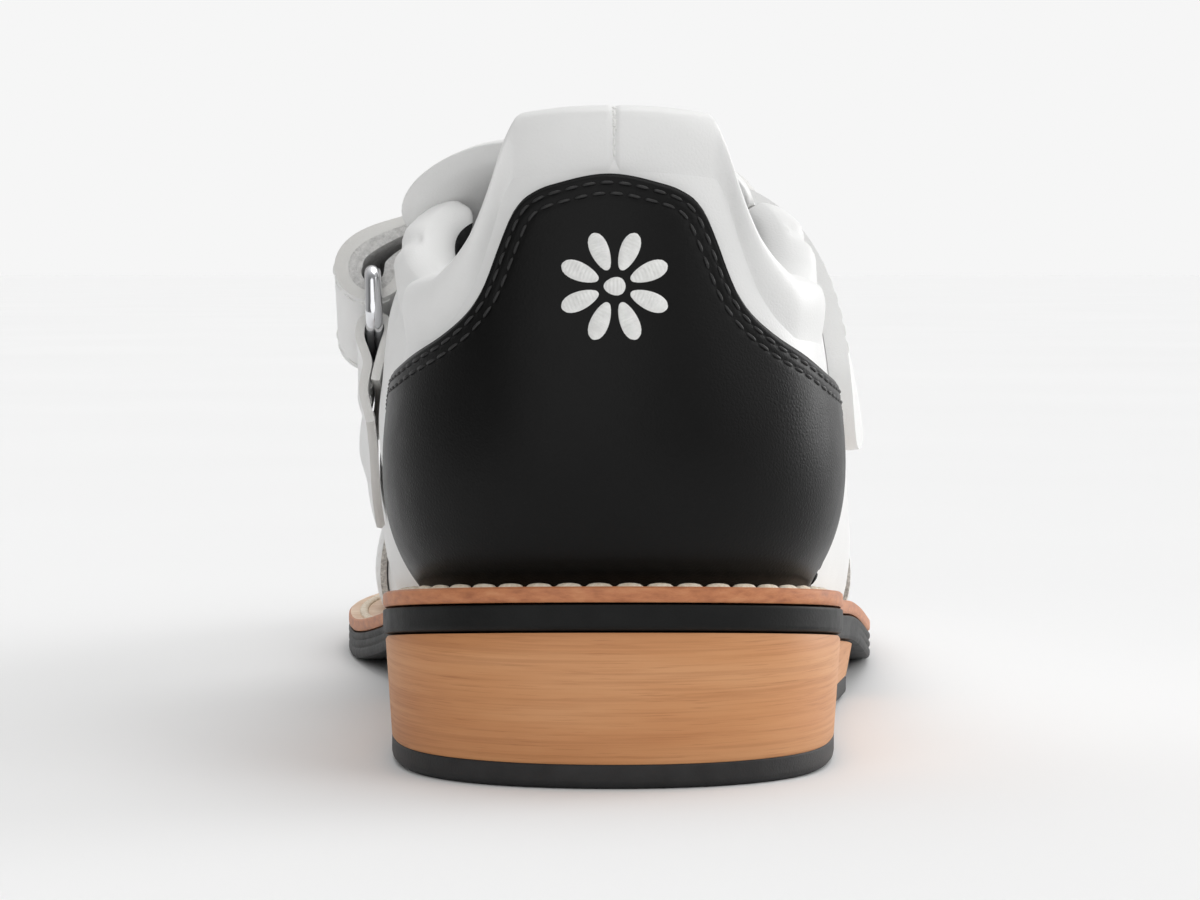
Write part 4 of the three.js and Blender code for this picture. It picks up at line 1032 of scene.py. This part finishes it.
def tongue():
    """A soft padded strip whose rear end rolls up and out into a thick rounded edge."""
    v = np.linspace(-1, 1, 2 * TONGUE_COLUMNS + 1)
    folded = np.concatenate([np.linspace(TONGUE_START, TONGUE_END, TONGUE_ROWS),
                             np.linspace(TONGUE_END, FRONT_TURN, FRONT_ROWS)[1:]])
    s = (folded - TONGUE_START) / (TONGUE_END - TONGUE_START)
    columns = []
    for side in v:
        turn = folded if side <= 0 else 1 - folded
        tucked = level_at_reach(turn, throat(np.maximum(folded, FACING_TURN + 0.014)), TONGUE_OVERLAP)
        level = tucked + (1 - tucked) * (1 - abs(side))
        normal = surface_normal(turn, level)
        if side == 0:
            normal = unit(normal + surface_normal(1 - folded, level))
        depth = UPPER_WALL + TONGUE_GAP + TONGUE_THICKNESS / 2
        columns.append(surface(turn, level) - normal * depth)
    body = np.stack(columns, 1)
    fine = 400
    edge = smoothed(resampled(np.array(TONGUE_EDGE, float), fine), 300)
    edge = edge[np.linspace(0, fine - 1, len(v)).astype(int)]
    join = int(np.searchsorted(s, ROLL_SHARE))
    meet = body[join]
    onward = (body[join + 2] - body[join]) / 2 * join
    for row in range(join):
        body[row] = hermite(0, edge, 1.2 * (meet - edge), 1, meet, onward, row / join)
    body = smoothed(body, 4)
    normal = unit(np.cross(np.gradient(body, axis=1), np.gradient(body, axis=0)))
    normal *= np.where(normal[..., 2:] < 0, -1, 1)
    wide, long = v[None, :], s[:, None]
    end = np.sqrt(1 - (1 - np.clip(long / 0.05, 0, 1)) ** 2)
    full = np.sqrt(1 - np.abs(wide) ** 6) * end * (1 - 0.25 * smoothstep(long, 0.8, 1))
    puff = 1 + 0.3 * (1 - smoothstep(long, 0.04, 0.16))
    half = TONGUE_THICKNESS / 2 * np.maximum(full, 0.1) * puff
    channel = 0.6 * np.exp(-((long - 0.16) / 0.012) ** 2)
    outer, inner = body + normal * (half - channel)[..., None], body - normal * half[..., None]
    points, faces, _ = shell(outer, inner, swell=0.25)
    row_faces = 2 * TONGUE_COLUMNS
    skin = (len(folded) - 1) * row_faces
    index = [int(skin + WHITE_ROWS * row_faces <= k < 2 * skin) for k in range(len(faces))]
    item = make("fine_tongue", points, faces, [white, lining], index, 70)
    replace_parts(item, "tongue")


# Strap, tab and ring lie in planes square to the sloping ridge of the instep
RIDGE_WAY = np.array([0, math.cos(STRAP_TILT), -math.sin(STRAP_TILT)])
PLANE_UP = np.array([0, math.sin(STRAP_TILT), math.cos(STRAP_TILT)])


def ridge_plane():
    folded = np.linspace(0, 0.34, 400)
    turn = np.interp(STRAP_ALONG, ridge_of(folded)[1], folded)
    return float(np.array([float(v) for v in ridge_of(turn)]) @ RIDGE_WAY)


MIDDLE_PLANE = ridge_plane()


def strap_plane(share):
    return MIDDLE_PLANE + share * STRAP_WIDTH / 2


class Profile:
    """The upper's outline in one plane, measured from the ridge: negative to the outer side."""

    def __init__(self, plane):
        steps = 90
        at = 0.01 + 0.99 * (np.arange(steps + 1) / steps) ** 1.6
        sides = []
        for side in (1, -1):
            turn = bisect(lambda t, s=side: surface(s * t, at) @ RIDGE_WAY < plane, at.shape, 0.09, 0.45)
            point = surface(side * turn, at)
            sides.append(np.stack([point[:, 0], point @ PLANE_UP], -1))
        self.points = np.concatenate([sides[0], sides[1][::-1][1:]])
        self.lengths = lengths_of(self.points)
        self.start = self.lengths[steps]

    def place(self, reach):
        length = np.clip(np.asarray(reach, float) + self.start, 0, self.lengths[-1])
        return at_lengths(self.points, self.lengths, length)

    def tangent(self, reach):
        return unit(self.place(np.asarray(reach) + 3) - self.place(np.asarray(reach) - 3))

    def outward(self, reach):
        along = self.tangent(reach)
        return np.stack([along[..., 1], -along[..., 0]], -1)

    def at(self, reach, offset):
        return self.place(reach) + self.outward(reach) * np.asarray(offset)[..., None]


edge_profiles = [Profile(strap_plane(share)) for share in (-1, 1)]
LOW_REACH = RING_FROM_RIDGE + RING_HEIGHT


def bar_point(share, reach, standoff):
    first, second = (profile.at(reach, standoff) for profile in edge_profiles)
    return first + (second - first) * (share + 1) / 2


def from_plane(points, plane):
    points = np.asarray(points)
    return points[..., :1] * np.array([1.0, 0, 0]) + points[..., 1:] * PLANE_UP + RIDGE_WAY * plane


def half_circle(centre, outward, down, radius, steps):
    angle = np.linspace(0, math.pi, steps + 1)[:, None]
    return centre - outward * radius * np.cos(angle) + down * radius * np.sin(angle)


def rounded_end(share):
    return STRAP_TIP_ROUND * (1 - math.sqrt(max(1 - share * share, 0)))


def strap_line(share, profile):
    near = STRAP_GAP + STRAP_THICKNESS / 2
    doubled = near + STRAP_THICKNESS + FIT_GAP
    bar = bar_point(share, RING_FROM_RIDGE, RING_STANDOFF)
    outward, down = profile.outward(RING_FROM_RIDGE), profile.tangent(RING_FROM_RIDGE)
    centre = bar - down * LOOP_UP + outward * LOOP_OUT
    standoff = float((centre - profile.at(RING_FROM_RIDGE, 0.0)) @ outward)
    loop_reach = RING_FROM_RIDGE - LOOP_UP
    reach = np.linspace(-STRAP_OUTER_REACH + rounded_end(share), loop_reach - 1, 70)
    merged = smoothstep(reach, loop_reach - LOOP_MERGE, loop_reach)
    under = profile.at(reach, near + (standoff - LOOP_RADIUS - near) * merged)
    reach = np.linspace(loop_reach - 1, -STRAP_FREE_REACH + rounded_end(share), 50)
    merged = smoothstep(reach, loop_reach - LOOP_MERGE, loop_reach)
    over = profile.at(reach, doubled + (standoff + LOOP_RADIUS - doubled) * merged)
    return np.concatenate([under, half_circle(centre, outward, down, LOOP_RADIUS, 24), over])


def tab_line(share, profile):
    near = STRAP_GAP + TAB_THICKNESS / 2
    doubled = near + TAB_THICKNESS + FIT_GAP
    bend = RING_WIRE / 2 + FIT_GAP + TAB_THICKNESS / 2
    bar = bar_point(share, LOW_REACH, LOW_STANDOFF)
    outward, up = profile.outward(LOW_REACH), -profile.tangent(LOW_REACH)
    standoff = float((bar - profile.at(LOW_REACH, 0.0)) @ outward)
    reach = np.linspace(LOW_REACH + TAB_INNER_LEG, LOW_REACH + 2, 12)
    merged = smoothstep(reach, LOW_REACH, LOW_REACH + 0.6 * TAB_INNER_LEG)
    inner = profile.at(reach, standoff - bend + (near - standoff + bend) * merged)
    last = LOW_REACH + TAB_REAR_REACH + (TAB_FRONT_REACH - TAB_REAR_REACH) * (share + 1) / 2
    reach = np.linspace(LOW_REACH + 2, last, 34)
    merged = smoothstep(reach, LOW_REACH + 0.5, LOW_REACH + 0.75 * TAB_INNER_LEG)
    down = smoothstep(reach, LOW_REACH + TAB_INNER_LEG + 1, LOW_REACH + 2 * TAB_INNER_LEG)
    high = standoff + bend + (doubled - standoff - bend) * merged
    outer = profile.at(reach, high + (near - high) * down)
    return np.concatenate([inner, half_circle(bar, outward, up, bend, 16), outer])


def band(name, node, shares, line_of, count, thickness, passes, materials, root=0, pile_depth=0, settle=0):
    """A band of leather: returns both its skins, so that stitches can follow them.

    The first root rows of its second skin and edge are leather too. Its pile, at most pile_depth, fills the
    room round the ring's upper bar. Its first half is thicker by settle towards the upper.
    """
    front, back = [], []
    for share in shares:
        plane = strap_plane(share)
        line = smoothed(resampled(line_of(share, Profile(plane)), count), passes)
        along = unit(np.gradient(line, axis=0))
        side = np.stack([-along[:, 1], along[:, 0]], -1)
        bar = bar_point(share, RING_FROM_RIDGE, RING_STANDOFF)
        room = np.linalg.norm(line - side * thickness / 2 - bar, axis=1) - RING_WIRE / 2 - FIT_GAP
        looped = np.exp(-(np.linalg.norm(line - bar, axis=1) / 9) ** 4)
        fill = np.clip(room, 0, pile_depth) * looped
        seated = settle * (1 - smoothstep(np.arange(count), 0.45 * count, 0.55 * count))
        front.append(from_plane(line + side * (thickness / 2 + seated)[:, None], plane))
        back.append(from_plane(line - side * (thickness / 2 + fill)[:, None], plane))
    front, back = np.stack(front, 1), np.stack(back, 1)
    points, faces, index = shell(front, back, swell=0.3)
    behind = count * len(shares)
    for k, face in enumerate(faces):
        if min(corner % behind for corner in face if corner < 2 * behind) // len(shares) < root:
            index[k] = 0
    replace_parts(make(name, points, faces, materials, index, 50), node)
    return front, back


# Rows along the strap, counted from its outer end: the upper face and the edges of its root are plain
# leather, and the stitches of its folded end start at FOLD_START
STRAP_ROWS = 190
STRAP_ROOT = 56
FOLD_START = 84
PILE_DEPTH = 1.9
STRAP_SETTLE = 0.5
TAB_ROWS = 70


def strap():
    share = -0.999 * np.cos(math.pi * np.linspace(0, 1, 27))
    return band("fine_strap", "strap", share, strap_line, STRAP_ROWS, STRAP_THICKNESS, 3,
                [white, pile, rim, pile], STRAP_ROOT, PILE_DEPTH, STRAP_SETTLE)


def ring_tab():
    share = np.linspace(-1, 1, 19) * TAB_WIDTH / STRAP_WIDTH
    return band("fine_ring_tab", "ring_tab", share, tab_line, TAB_ROWS, TAB_THICKNESS, 2,
                [white, white, rim, rim])


def strap_ring():
    past = 1 + (RING_SIDE_ROOM + RING_WIRE / 2) / (STRAP_WIDTH / 2)
    high, low = (RING_FROM_RIDGE, RING_STANDOFF), (LOW_REACH, LOW_STANDOFF)
    corners = np.array([from_plane(bar_point(share, *bar), strap_plane(share))
                        for share, bar in ((-past, high), (past, high), (past, low), (-past, low))])
    path = []
    for i in range(4):
        before, after = unit(corners[i - 1] - corners[i]), unit(corners[(i + 1) % 4] - corners[i])
        for u in np.linspace(0, 1, 11):
            path.append(corners[i] + before * RING_CORNER * (1 - u) ** 2 + after * RING_CORNER * u ** 2)
    path = np.array(path)
    flat = unit(np.cross(corners[1] - corners[0], corners[3] - corners[0]))
    along = unit(np.roll(path, -1, 0) - np.roll(path, 1, 0))
    side = unit(np.cross(along, flat))
    lift = np.cross(side, along)
    angle = np.linspace(0, 2 * math.pi, 24, endpoint=False)
    rows = [path[i] + (side[i] * np.cos(angle)[:, None] + lift[i] * np.sin(angle)[:, None]) * RING_WIRE / 2
            for i in range(len(path))]
    points, faces = loft(rows)
    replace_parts(make("fine_strap_ring", points, faces, [chrome], None), "strap_ring")


# Stitches: pitch, length, radius and how far the middle stands off, in millimetres
COUNTER_STITCH = (2.7, 2.2, 0.27, 0.16)
WELT_STITCH = (4.6, 4.6, 0.95, 0.3)
VAMP_STITCH = (3.0, 2.4, 0.3, 0.15)
STRAP_STITCH = (3.2, 2.6, 0.24, 0.12)
TAB_STITCH = (2.8, 2.2, 0.26, 0.14)
SEAM_STITCH = (1.5, 1.3, 0.22, 0.1)
TACK_STITCH = (0.9, 1.1, 0.2, 0.12)
STITCH_SIDES = 7
STITCH_RINGS = 7


def stitches(name, line, normals, size, shader=white_thread, height=1.0):
    """Short bent capsules laid along a line on a surface."""
    pitch, length, radius, lift = size
    lengths = lengths_of(line)
    count = max(int(lengths[-1] // pitch), 1)
    share = np.linspace(-1, 1, STITCH_RINGS)
    thick = radius * np.sqrt(np.clip(1 - share ** 4, 0.06, 1))
    around = np.linspace(0, 2 * math.pi, STITCH_SIDES, endpoint=False)[:, None]
    rows, faces = [], []
    for k in range(count):
        at = (k + 0.5) * lengths[-1] / count + share / 2 * length
        spine = at_lengths(line, lengths, at)
        normal = unit(at_lengths(normals, lengths, at))
        across = unit(np.cross(normal, unit(np.gradient(spine, axis=0))))
        spine = spine + normal * (lift * (0.65 - share ** 2))[:, None]
        faces += capped_faces(STITCH_RINGS, STITCH_SIDES, len(rows) * STITCH_SIDES)
        for r in range(STITCH_RINGS):
            ring = across[r] * np.cos(around) + normal[r] * height * np.sin(around)
            rows.append(spine[r] + ring * thick[r])
    make(name, np.concatenate(rows), faces, [shader], None, 180)


def inset_line(border, normals, inset):
    """A line at a distance from a border that runs along a surface."""
    return border + unit(np.cross(normals, unit(np.gradient(border, axis=0)))) * inset


def even_line(line, normals, pitch=0.8):
    lengths = lengths_of(line)
    at = np.linspace(0, lengths[-1], max(int(lengths[-1] / pitch), 2))
    return at_lengths(line, lengths, at), unit(at_lengths(normals, lengths, at))


def hit_from(tree, start, way, reach):
    """Where a ray meets a mesh and the mesh's normal there, or None."""
    hit, normal, _, _ = tree.ray_cast(Vector(placed(start)), Vector(way), reach)
    return None if hit is None else (np.array(hit) * 1000 - SHIFT, np.array(normal))


def from_behind(tree, x, z):
    return hit_from(tree, [x, -60.0, z], (0, 1, 0), 0.2)


def onto(tree, points, normals, reach=6.0):
    """Points moved onto a mesh along their normals, with the mesh's normals there."""
    found = [hit_from(tree, point + normal * reach, -normal, 0.02) or (point, normal)
             for point, normal in zip(points, normals)]
    return [np.array(part) for part in zip(*found)]


def tree_of(item):
    build = bmesh.new()
    build.from_mesh(item.data)
    tree = BVHTree.FromBMesh(build)
    build.free()
    return tree


# Pinholes inside the counter's edge: their inset, their shares of the way along it, and radius and height of
# their rings
PINHOLE_INSET = 4.9
PINHOLES = (0.2, 0.222, 0.244, 0.27, 0.73, 0.756, 0.778, 0.8)
PINHOLE_RINGS = ((0.55, -0.3), (0.5, 0.04), (0.3, 0.02))
PINHOLE_SIDES = 12


def counter_stitching(tree, border, normals):
    for number, inset in enumerate(COUNTER_SEAMS):
        line, facing = onto(tree, *even_line(inset_line(border, normals, -inset), normals))
        stitches(f"counter_stitches_{number + 1}", line, facing, COUNTER_STITCH, black_thread)
    line, facing = onto(tree, *even_line(inset_line(border, normals, -PINHOLE_INSET), normals, 0.5))
    lengths = lengths_of(line)
    angle = np.linspace(0, 2 * math.pi, PINHOLE_SIDES, endpoint=False)[:, None]
    rows, faces = [], []
    for share in PINHOLES:
        at = share * lengths[-1]
        place, normal = at_lengths(line, lengths, at), unit(at_lengths(facing, lengths, at))
        across = unit(np.cross(normal, [0.0, 0.0, 1.0]))
        circle = across * np.cos(angle) + np.cross(across, normal) * np.sin(angle)
        faces += capped_faces(len(PINHOLE_RINGS), PINHOLE_SIDES, len(rows) * PINHOLE_SIDES)
        rows += [place + circle * radius + normal * lift for radius, lift in PINHOLE_RINGS]
    # The pinholes are near-black discs on the counter, coloured with painted shade in place of real holes
    make("counter_pinholes", np.concatenate(rows), faces, [pinhole_shade], None)


# The rosette's middle above the floor, and its petals: how far out, half their length and half their width
ROSETTE_HEIGHT = 76.0
PETALS = 8
PETAL = (5.6, 3.1, 1.75)
ROSETTE_EYE = (0.0, 1.7, 1.7)
ROSETTE_RINGS = 26
ROSETTE_SIDES = 64
THREAD_PITCH = 0.58
THREAD_RELIEF = 0.09


def rosette(tree):
    """A plain eight-petal rosette in satin stitch on the middle of the counter."""
    points, faces = [], []
    centre = np.array([0.0, ROSETTE_HEIGHT])
    blobs = [((k + 0.5) * 360 / PETALS, *PETAL) for k in range(PETALS)] + [(0, *ROSETTE_EYE)]
    for degrees, far, long, wide in blobs:
        way = np.array([math.cos(math.radians(degrees)), math.sin(math.radians(degrees))])
        across = np.array([-way[1], way[0]])
        faces += grid_faces(ROSETTE_RINGS, ROSETTE_SIDES, True, len(points))
        for radius in np.sin(math.pi / 2 * np.linspace(0, 1, ROSETTE_RINGS)):
            dome = math.sqrt(max(1 - radius ** 2, 0)) * 0.5
            for angle in np.linspace(0, 2 * math.pi, ROSETTE_SIDES, endpoint=False):
                u, v = math.cos(angle) * radius, math.sin(angle) * radius
                narrow = 1 - 0.35 * (1 - u) / 2
                flat = centre + way * (far + u * long) + across * v * wide * narrow
                place, normal = from_behind(tree, *flat)
                ridge = math.cos(2 * math.pi * (u * long + far) / THREAD_PITCH) * (1 - radius ** 6)
                points.append(place + normal * (dome + THREAD_RELIEF * ridge - 0.12))
    make("counter_rosette", np.array(points), faces, [white_thread], None, 180)


def welt_stitching():
    x, y = outline_point(fine_loop(700), WELT_SEAM)
    line = np.stack([x, y, welt_top(y) - 0.1], -1)
    line = np.concatenate([line, line[:1]])
    normals = np.broadcast_to([0.0, 0.0, 1.0], line.shape)
    stitches("welt_stitches", line, normals, WELT_STITCH, thread, 0.6)


def vamp_stitching(edges):
    for number, (line, normals) in enumerate(edges):
        path, facing = even_line(inset_line(line, normals, (-VAMP_SEAM, VAMP_SEAM)[number]), normals)
        stitches(f"vamp_stitches_{number + 1}", path[2:-2], facing[2:-2], VAMP_STITCH)


def edge_rows(name, top, under, columns, size):
    """A row of stitches along some columns of a band's upper skin."""
    for number, column in enumerate(columns):
        path, facing = even_line(top[:, column], unit(top[:, column] - under[:, column]))
        stitches(f"{name}_{number + 1}", path, facing, size)


def strap_stitching(front, back):
    """Stitches inside both long edges of the strap's leather faces, on its root and on its folded end."""
    root, fold_rows = slice(7, STRAP_ROOT - 1), slice(FOLD_START, -7)
    edge_rows("strap_stitches_root", back[root], front[root], (4, -5), STRAP_STITCH)
    edge_rows("strap_stitches_fold", front[fold_rows], back[fold_rows], (4, -5), STRAP_STITCH)


def tab_stitching(front, back):
    rows = slice(int(0.62 * len(front)), -3)
    edge_rows("tab_stitches", front[rows], back[rows], (2, -3), TAB_STITCH)


def back_seam(tree):
    """The closing seam up the collar's back, with a short zigzag at its top."""
    found = [from_behind(tree, 0, height) for height in np.linspace(95.5, 104.2, 40)]
    line, facing = (np.array(part) for part in zip(*filter(None, found)))
    stitches("back_seam", line, facing, SEAM_STITCH)
    zigzag = line.copy()
    zigzag[:, 0] += 0.9 * np.where(np.arange(len(line)) % 4 < 2, 1, -1)
    half = len(line) // 2
    stitches("back_bartack", zigzag[half:], facing[half:], TACK_STITCH)


outsole()
heel()
welt()
insole()
upper()
counter_item, *counter_edge = counter()
vamp_edges = vamp()
collar_item = collar()
tongue()
strap_skins = strap()
strap_ring()
tab_skins = ring_tab()
counter_stitching(tree_of(counter_item), *counter_edge)
rosette(tree_of(counter_item))
welt_stitching()
vamp_stitching(vamp_edges)
strap_stitching(*strap_skins)
tab_stitching(*tab_skins)
back_seam(tree_of(collar_item))


# Floor, lights, backdrop and camera
FLOOR_REACH = 30.0


def floor():
    mesh = bpy.data.meshes.new("floor")
    corners = [(x * FLOOR_REACH, y * FLOOR_REACH, 0) for x, y in ((-1, -1), (1, -1), (1, 1), (-1, 1))]
    mesh.from_pydata(corners, [], [(0, 1, 2, 3)])
    stops = ((0.3, (235, 235, 235)), (0.7, (237, 237, 237)))
    shader = mottled("floor_paper", (236, 236, 236), 0.9, (3, 2), stops, Specular_IOR_Level=0.0)
    mesh.materials.append(shader.material)
    item = bpy.data.objects.new("floor", mesh)
    bpy.context.collection.objects.link(item)


def soft_sun(name, direction, spread, strength):
    """A wide soft light from one direction, even over the whole floor: spread is in degrees."""
    light = bpy.data.lights.new(name, "SUN")
    light.angle = math.radians(spread)
    light.energy = strength
    item = bpy.data.objects.new(name, light)
    item.location = direction
    item.rotation_euler = Vector(direction).to_track_quat("Z", "Y").to_euler()
    bpy.context.collection.objects.link(item)


floor()
soft_sun("key", (1.5, -0.8, 1.0), 45, 0.55)
soft_sun("fill", (-0.4, -1.6, 0.8), 60, 0.8)
soft_sun("overhead", (0.25, 0.25, 1.5), 50, 0.75)
soft_sun("rim", (1.5, 0.85, 0.35), 34, 1.1)


def studio():
    """A bright backdrop ahead and above, with a darker room behind the camera and on the inner side."""
    made = bpy.data.worlds.new("studio")
    made.use_nodes = True
    tree = made.node_tree
    facing = add_node(tree, "ShaderNodeTexCoord").outputs["Generated"]
    split = add_node(tree, "ShaderNodeSeparateXYZ", Vector=facing)
    shares = []
    for axis, low, high, dim in (("Y", -0.5, 0.3, 0.3), ("X", -0.9, -0.2, 0.45)):
        scale = add_node(tree, "ShaderNodeMapRange", Value=split.outputs[axis], From_Min=low, From_Max=high,
                         To_Min=dim, To_Max=1.0)
        scale.interpolation_type = "SMOOTHSTEP"
        shares.append(scale.outputs["Result"])
    product = tree.nodes.new("ShaderNodeMath")
    product.operation = "MULTIPLY"
    for socket, share in zip(product.inputs, shares):
        put(tree, socket, share)
    background = tree.nodes["Background"]
    put(tree, background.inputs["Color"], linear(246, 246, 246))
    put(tree, background.inputs["Strength"], product.outputs["Value"])
    return made


bpy.context.scene.world = studio()
bpy.context.scene.view_settings.view_transform = "Standard"

# The camera stands behind the heel; places in millimetres, like the sizes above
CAMERA_LENS = 106
EYE = placed([-3.8, -528.8, 79])
AIM = placed([-2.2, 0.0, 51.5])

camera = bpy.data.cameras.new("camera")
camera.lens = CAMERA_LENS
camera_item = bpy.data.objects.new("camera", camera)
camera_item.location = EYE
camera_item.rotation_euler = (Vector(AIM) - Vector(EYE)).to_track_quat("-Z", "Y").to_euler()
bpy.context.collection.objects.link(camera_item)
bpy.context.scene.camera = camera_item
